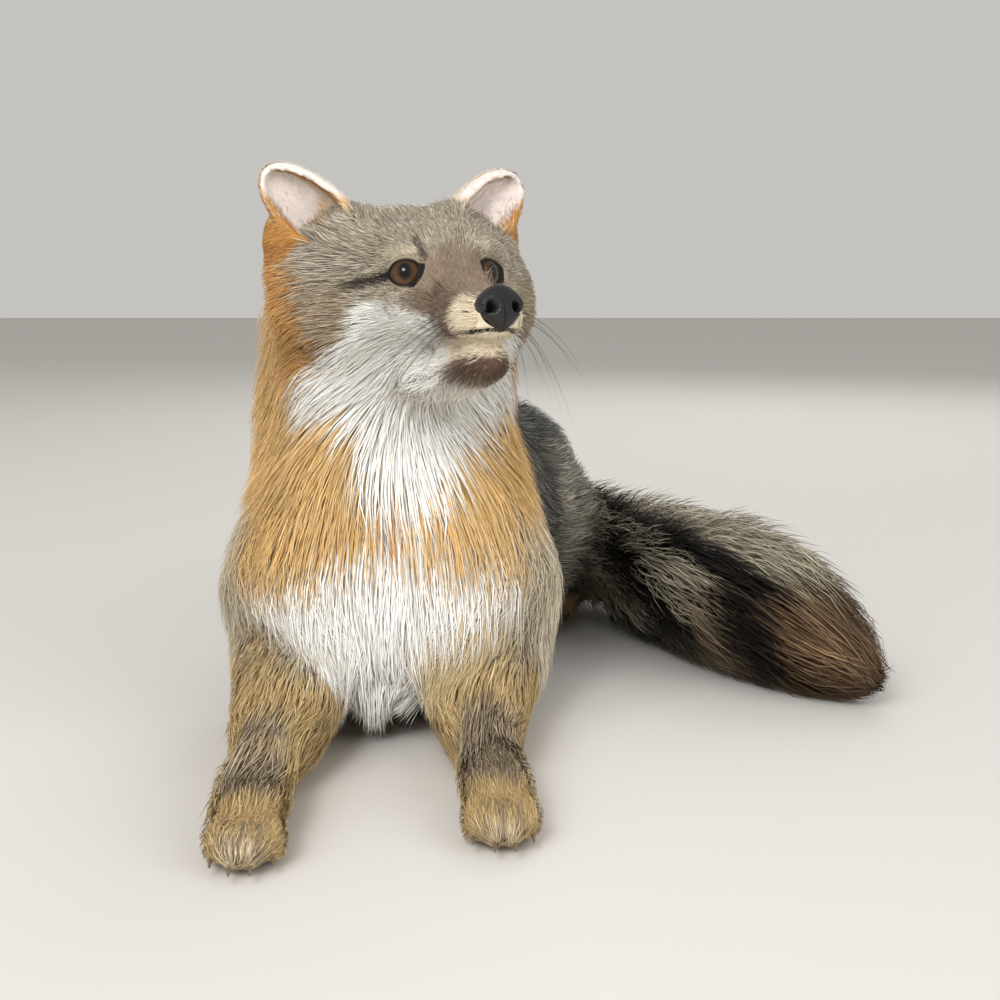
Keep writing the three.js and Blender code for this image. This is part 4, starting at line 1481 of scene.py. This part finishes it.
def addCoat(name, chosen, path, upward, materialName):
    # joined tufts, each a tapering spike with its patch of the bake
    ringCount = path.shape[1] - 1
    shape, total = tuftShapes[ringCount], len(chosen)
    ahead = np.diff(path, axis=1)
    tangent = unit(np.concatenate([ahead[:, :1], ahead], 1))
    across = unit(np.cross(tangent, upward))
    over = unit(np.cross(across, tangent))
    rings = []
    outs = []
    for k in range(ringCount):
        wide = widths[chosen][:, None] * shape["taper"][k]
        for turn in (math.pi / 2, math.pi * 7 / 6, math.pi * 11 / 6):
            out = across[:, k] * math.cos(turn) + over[:, k] * math.sin(turn) * 0.6
            rings.append(path[:, k] + out * wide)
            outs.append(unit(out))
    rings.append(path[:, -1])
    outs.append(unit(tangent[:, -1]))
    perTuft = 3 * ringCount + 1
    normals = unit(np.stack(outs, 1) * 0.35 + upward.mean(1)[:, None])
    starts = np.arange(total) * perTuft
    facesAll = (tuftFaces(ringCount)[None] + starts[:, None, None]).reshape(-1, 3)
    mesh = triangleMesh(name, np.stack(rings, 1).reshape(-1, 3), facesAll)
    setTint(mesh, "coatTint", tuftTones(chosen, shape["bands"]))
    patch = np.zeros((perTuft, 2))
    strand = np.zeros((perTuft, 2))
    for k in range(ringCount):
        for j in range(3):
            patch[3 * k + j] = ((j - 1) * 0.0012, (k / ringCount - 0.5) * 0.003)
            strand[3 * k + j] = (j * 1.7, k / ringCount)
    patch[-1] = (0, 0.0015)
    strand[-1] = (1.7, 1.0)
    setUv(mesh, "OFBake", rootUv[chosen][:, None] + patch[None], facesAll)
    size = np.stack([widths[chosen] * 5, lengths[chosen] / 7], 1)[:, None]
    offset = dice.uniform(0, 400, (total, 1, 2))
    setUv(mesh, "strands", strand[None] * size + offset, facesAll)
    mesh.normals_split_custom_set_from_vertices(normals.reshape(-1, 3).astype(np.float32).tolist())
    mesh.materials.append(coatMaterial(materialName))
    obj = addObject(name, mesh)
    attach(obj, "root")
    print(name, total, "tufts", len(facesAll), "faces")


slots = {
    "lock": "white_coat",
    "flank": "grizzled_coat", "tail": "grizzled_coat", "shoulder": "tawny_coat", "head": "grizzled_coat",
    "white": "white_coat", "leg": "tawny_coat", "ear": "tawny_coat",
}
pieceOf[(shareOf("white", "cream") > 0.5) & rest & np.isin(pieceOf, ["head", "shoulder"])] = "white"
for label, members, segments in groups:
    for part, slotName in slots.items():
        inPart = np.where(pieceOf[members] == part)[0]
        pieces = math.ceil(len(inPart) * tuftShapes[segments]["faces"] / coatShape["facesPerPiece"])
        for i, rows in enumerate(np.array_split(inPart, pieces) if pieces else []):
            name = f"{part}Coat{'Short' if segments == 2 else 'Long'}{i + 1 if pieces > 1 else ''}"
            rows = rows[~crossing[members[rows]]]
            path, upward = (array[rows] for array in pathOf[label])
            addCoat(name, members[rows], path, upward, slotName.replace("_coat", "Coat"))

# the skin carries the same markings

skinShown = nearestOn(envelopeTree, skinPlaces)[0]
skinKinds = markings(skinShown * 1000, skinNormals, nodesNear(skinShown))
# the skin is darkened a little: painted shade under the coat
skinTone = np.einsum("nk,kbc->nbc", skinKinds, bandTones)[:, :2].mean(1) * coatShape["skinPaintedShade"]
lidTone = tone(22, 18, 16)  # the rims of the eyes and the skin behind the nose pad
folded = mirrored(toHead(skinPlaces * 1000))
eyeGap = fromEye(folded)
rim = ramp(pastLid(skinPlaces * 1000), 1.2, 0.6) * (eyeGap < 12)
skinTone = skinTone * (1 - rim[:, None]) + lidTone * rim[:, None]
noseGap = (folded[:, 1] > 53.5) & (folded[:, 0] < 6.5) & (folded[:, 2] > -27) & (folded[:, 2] < -13)
skinTone = np.where(((eyeGap < 8.8) | noseGap)[:, None], lidTone, skinTone)
setTint(skinMesh, "coatTint", skinTone)
skinMesh.materials.append(coatMaterial("skinUnderCoat", strands=False))
print("skin marked")

# glass of the eyes: rings of brown round a pupil that is narrow across, with painted shadow of the upper lid
# darkening the top

irisRings = (
    # distance from the middle, colour
    (0.0, (22, 15, 10)), (0.14, (50, 33, 19)), (0.22, (84, 57, 32)), (0.29, (52, 35, 21)),
    (0.325, (18, 12, 9)), (0.37, (8, 7, 6)),
)
eyeMaterial, nodes, links, shader = newMaterial("glassEye")
shader.inputs["Roughness"].default_value = 0.3
shader.inputs["Specular IOR Level"].default_value = 0.1
shader.inputs["Coat Weight"].default_value = 0.6
shader.inputs["Coat Roughness"].default_value = 0.02
irisUv = nodes.new("ShaderNodeUVMap")
irisUv.uv_map = "irisMap"
centred = nodes.new("ShaderNodeVectorMath")
centred.operation = "SUBTRACT"
centred.inputs[1].default_value = (0.5, 0.5, 0.0)
links.new(irisUv.outputs["UV"], centred.inputs[0])
ringOut = nodes.new("ShaderNodeVectorMath")
ringOut.operation = "LENGTH"
links.new(centred.outputs["Vector"], ringOut.inputs[0])
irisRamp = nodes.new("ShaderNodeValToRGB")
stops = irisRamp.color_ramp.elements
for i, (place, colour) in enumerate(irisRings):
    element = stops[i] if i < 2 else stops.new(place)  # a new ramp has two stops
    element.position = place
    element.color = (*tone(*colour), 1)
links.new(ringOut.outputs["Value"], irisRamp.inputs["Fac"])
stretched = nodes.new("ShaderNodeVectorMath")
stretched.operation = "MULTIPLY"
stretched.inputs[1].default_value = (1.7, 1.0, 1.0)
links.new(centred.outputs["Vector"], stretched.inputs[0])
pupilOut = nodes.new("ShaderNodeVectorMath")
pupilOut.operation = "LENGTH"
links.new(stretched.outputs["Vector"], pupilOut.inputs[0])
pupil = addRange(nodes, 0.15, 0.21, 1.0, 0.0)
links.new(pupilOut.outputs["Value"], pupil.inputs["Value"])
darkPupil = addMix(nodes)
links.new(pupil.outputs["Result"], darkPupil.inputs[0])
links.new(irisRamp.outputs["Color"], darkPupil.inputs[6])
darkPupil.inputs[7].default_value = (*tone(9, 7, 6), 1)
upAndDown = nodes.new("ShaderNodeSeparateXYZ")
links.new(centred.outputs["Vector"], upAndDown.inputs[0])
# painted shadow of the upper lid: the iris darkens towards its top
paintedLidShadow = addRange(nodes, 0.02, 0.26, 1.0, 0.2)
links.new(upAndDown.outputs["Y"], paintedLidShadow.inputs["Value"])
shaded = addMix(nodes, "MULTIPLY")
shaded.inputs[0].default_value = 1.0
links.new(darkPupil.outputs[2], shaded.inputs[6])
links.new(paintedLidShadow.outputs["Result"], shaded.inputs[7])
links.new(shaded.outputs[2], shader.inputs["Base Color"])
for eyeball in eyeballs:
    eyeball.data.materials.append(eyeMaterial)

# leather of the nose, with painted shade deep in its nostrils and slits

noseMaterial, nodes, links, shader = newMaterial("noseLeather")
shader.inputs["Roughness"].default_value = 0.36
shader.inputs["Specular IOR Level"].default_value = 0.5
hollowShade = nodes.new("ShaderNodeAttribute")
hollowShade.attribute_name = "hollowShade"
noseTint = addMix(nodes)
noseTint.inputs[6].default_value = (*tone(27, 25, 26), 1)
noseTint.inputs[7].default_value = (*tone(8, 7, 7), 1)
links.new(hollowShade.outputs["Fac"], noseTint.inputs[0])
links.new(noseTint.outputs[2], shader.inputs["Base Color"])
objectPlace = nodes.new("ShaderNodeTexCoord")
pebble = nodes.new("ShaderNodeTexVoronoi")
pebble.inputs["Scale"].default_value = 1100
links.new(objectPlace.outputs["Object"], pebble.inputs["Vector"])
noseBump = nodes.new("ShaderNodeBump")
noseBump.inputs["Strength"].default_value = 0.35
noseBump.inputs["Distance"].default_value = 0.0004
links.new(pebble.outputs["Distance"], noseBump.inputs["Height"])
links.new(noseBump.outputs["Normal"], shader.inputs["Normal"])
nosePad.data.materials.append(noseMaterial)

# claws: copies of the frame's, shortened towards the toes

clawShape = {"scale": 0.72, "colour": (104, 88, 70)}
clawMaterial, nodes, links, shader = newMaterial("clawHorn")
shader.inputs["Base Color"].default_value = (*tone(*clawShape["colour"]), 1)
shader.inputs["Roughness"].default_value = 0.4
for nodeName in sorted(n for n in frame["nodes"] if n.startswith("claw_")):
    clawMesh = frame["nodes"][nodeName].data.copy()
    places = placesOf(clawMesh)
    heel = places[places[:, 1].argmax()]
    movePlaces(clawMesh, heel + (places - heel) * clawShape["scale"])
    clawMesh.materials.clear()
    clawMesh.materials.append(clawMaterial)
    piece = addObject(nodeName.replace("claw_", "horn_"), clawMesh)
    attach(piece, "root")
    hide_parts(nodeName)
print("claws made")

# whiskers

whiskerShape = {
    "perSide": 11, "rows": 3, "links": 7,
    "first": (14.5, 44, -20.5),  # root of the foremost whisker in the top row
    "rowStep": (0.6, 0, -3.4),
    "placeStep": (0, -4.6, 0),
    "length": (30, 50),
    "droop": 0.55,
    "radius": 0.15,
    "thinned": 0.88,  # share of the radius that is gone at the tip
    "colour": (44, 36, 32),
}


def buildWhiskers(side):
    # thin tapering stems in three rows on the whisker pad
    bm = bmesh.new()
    for i in range(whiskerShape["perSide"]):
        place, row = divmod(i, whiskerShape["rows"])
        rowStep, placeStep = np.array(whiskerShape["rowStep"]), np.array(whiskerShape["placeStep"])
        root = np.array(whiskerShape["first"]) + rowStep * row + placeStep * place
        length = dice.uniform(*whiskerShape["length"])
        way = unit(np.array([1.0, 0.2 - 0.32 * place, -0.3 - 0.18 * row]) + dice.normal(size=3) * 0.08)
        down = np.array([-0.15, -0.5, -0.75])
        last = None
        for k in range(whiskerShape["links"] + 1):
            t = k / whiskerShape["links"]
            centre = root - way * 2 + way * length * t + down * length * t * t * whiskerShape["droop"]
            size = whiskerShape["radius"] * (1 - whiskerShape["thinned"] * t)
            ring = []
            aside = unit(np.cross(way, (0, 0, 1)))
            above = np.cross(aside, way)
            for turn in range(4):
                a = turn * math.pi / 2
                spot = centre + (aside * math.cos(a) + above * math.sin(a)) * size
                ring.append(bm.verts.new(Vector(fromHead(spot * (side, 1, 1)) / 1000)))
            if last:
                for j in range(4):
                    bm.faces.new((last[j], last[(j + 1) % 4], ring[(j + 1) % 4], ring[j]))
            else:
                bm.faces.new(ring[::-1])
            last = ring
        bm.faces.new(last)
    bmesh.ops.recalc_face_normals(bm, faces=bm.faces)
    mesh = meshFrom(bm, "whiskers")
    shadeSmooth(mesh)
    return addObject("whiskersLeft" if side > 0 else "whiskersRight", mesh)


whiskerMaterial, nodes, links, shader = newMaterial("whiskerHair")
shader.inputs["Base Color"].default_value = (*tone(*whiskerShape["colour"]), 1)
shader.inputs["Roughness"].default_value = 0.4
for side in (1, -1):
    whiskers = buildWhiskers(side)
    whiskers.data.materials.append(whiskerMaterial)
    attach(whiskers, "root")
print("whiskers made")

# stage: pale floor, soft light, camera

stageShape = {
    # colours, and places in metres
    "floor": (0.62, 0.6, 0.57, 1), "floorHalf": 6,  # half its width
    "sky": (0.9, 0.88, 0.85, 1), "skyStrength": 0.62,
    "lens": 52.2, "sensor": 36,
    "camera": (0.015, -0.820, 0.222),
    "lookDown": 9.02,  # degrees
}
floorMaterial, nodes, links, shader = newMaterial("paleFloor")
shader.inputs["Base Color"].default_value = stageShape["floor"]
shader.inputs["Roughness"].default_value = 0.8
bm = bmesh.new()
bmesh.ops.create_grid(bm, x_segments=1, y_segments=1, size=stageShape["floorHalf"])
floorMesh = meshFrom(bm, "floor")
floorMesh.materials.append(floorMaterial)
floorObject = addObject("floor", floorMesh)

lights = {
    # place, aim, size, power, whether gloss shows it
    "keyLight": ((-0.7, -1.5, 1.3), (0.0, -0.05, 0.12), 1.4, 25, False),
    "fillLight": ((1.4, -1.1, 0.8), (0.0, -0.05, 0.12), 1.4, 13, False),
    "backLight": ((0.5, 1.5, 1.3), (0.0, 0.0, 0.12), 1.2, 12, False),
    "glintLight": ((-0.35, -1.3, 0.95), (0, -0.15, 0.2), 0.34, 6.0, True),
}
for name, (place, aim, size, power, inGloss) in lights.items():
    light = bpy.data.lights.new(name, "AREA")
    light.energy = power
    light.size = size
    lamp = bpy.data.objects.new(name, light)
    lamp.location = place
    lamp.rotation_euler = (Vector(aim) - Vector(place)).to_track_quat("-Z", "Y").to_euler()
    lamp.visible_glossy = inGloss
    bpy.context.scene.collection.objects.link(lamp)
world = bpy.data.worlds.new("softStudio")
world.use_nodes = True
sky = world.node_tree.nodes["Background"]
sky.inputs["Color"].default_value = stageShape["sky"]
sky.inputs["Strength"].default_value = stageShape["skyStrength"]
bpy.context.scene.world = world
bpy.context.scene.view_settings.view_transform = "Standard"

cameraData = bpy.data.cameras.new("camera")
cameraData.lens = stageShape["lens"]
cameraData.sensor_width = stageShape["sensor"]
camera = bpy.data.objects.new("camera", cameraData)
camera.location = stageShape["camera"]
camera.rotation_euler = (math.radians(90 - stageShape["lookDown"]), 0, 0)
bpy.context.scene.collection.objects.link(camera)
bpy.context.scene.camera = camera
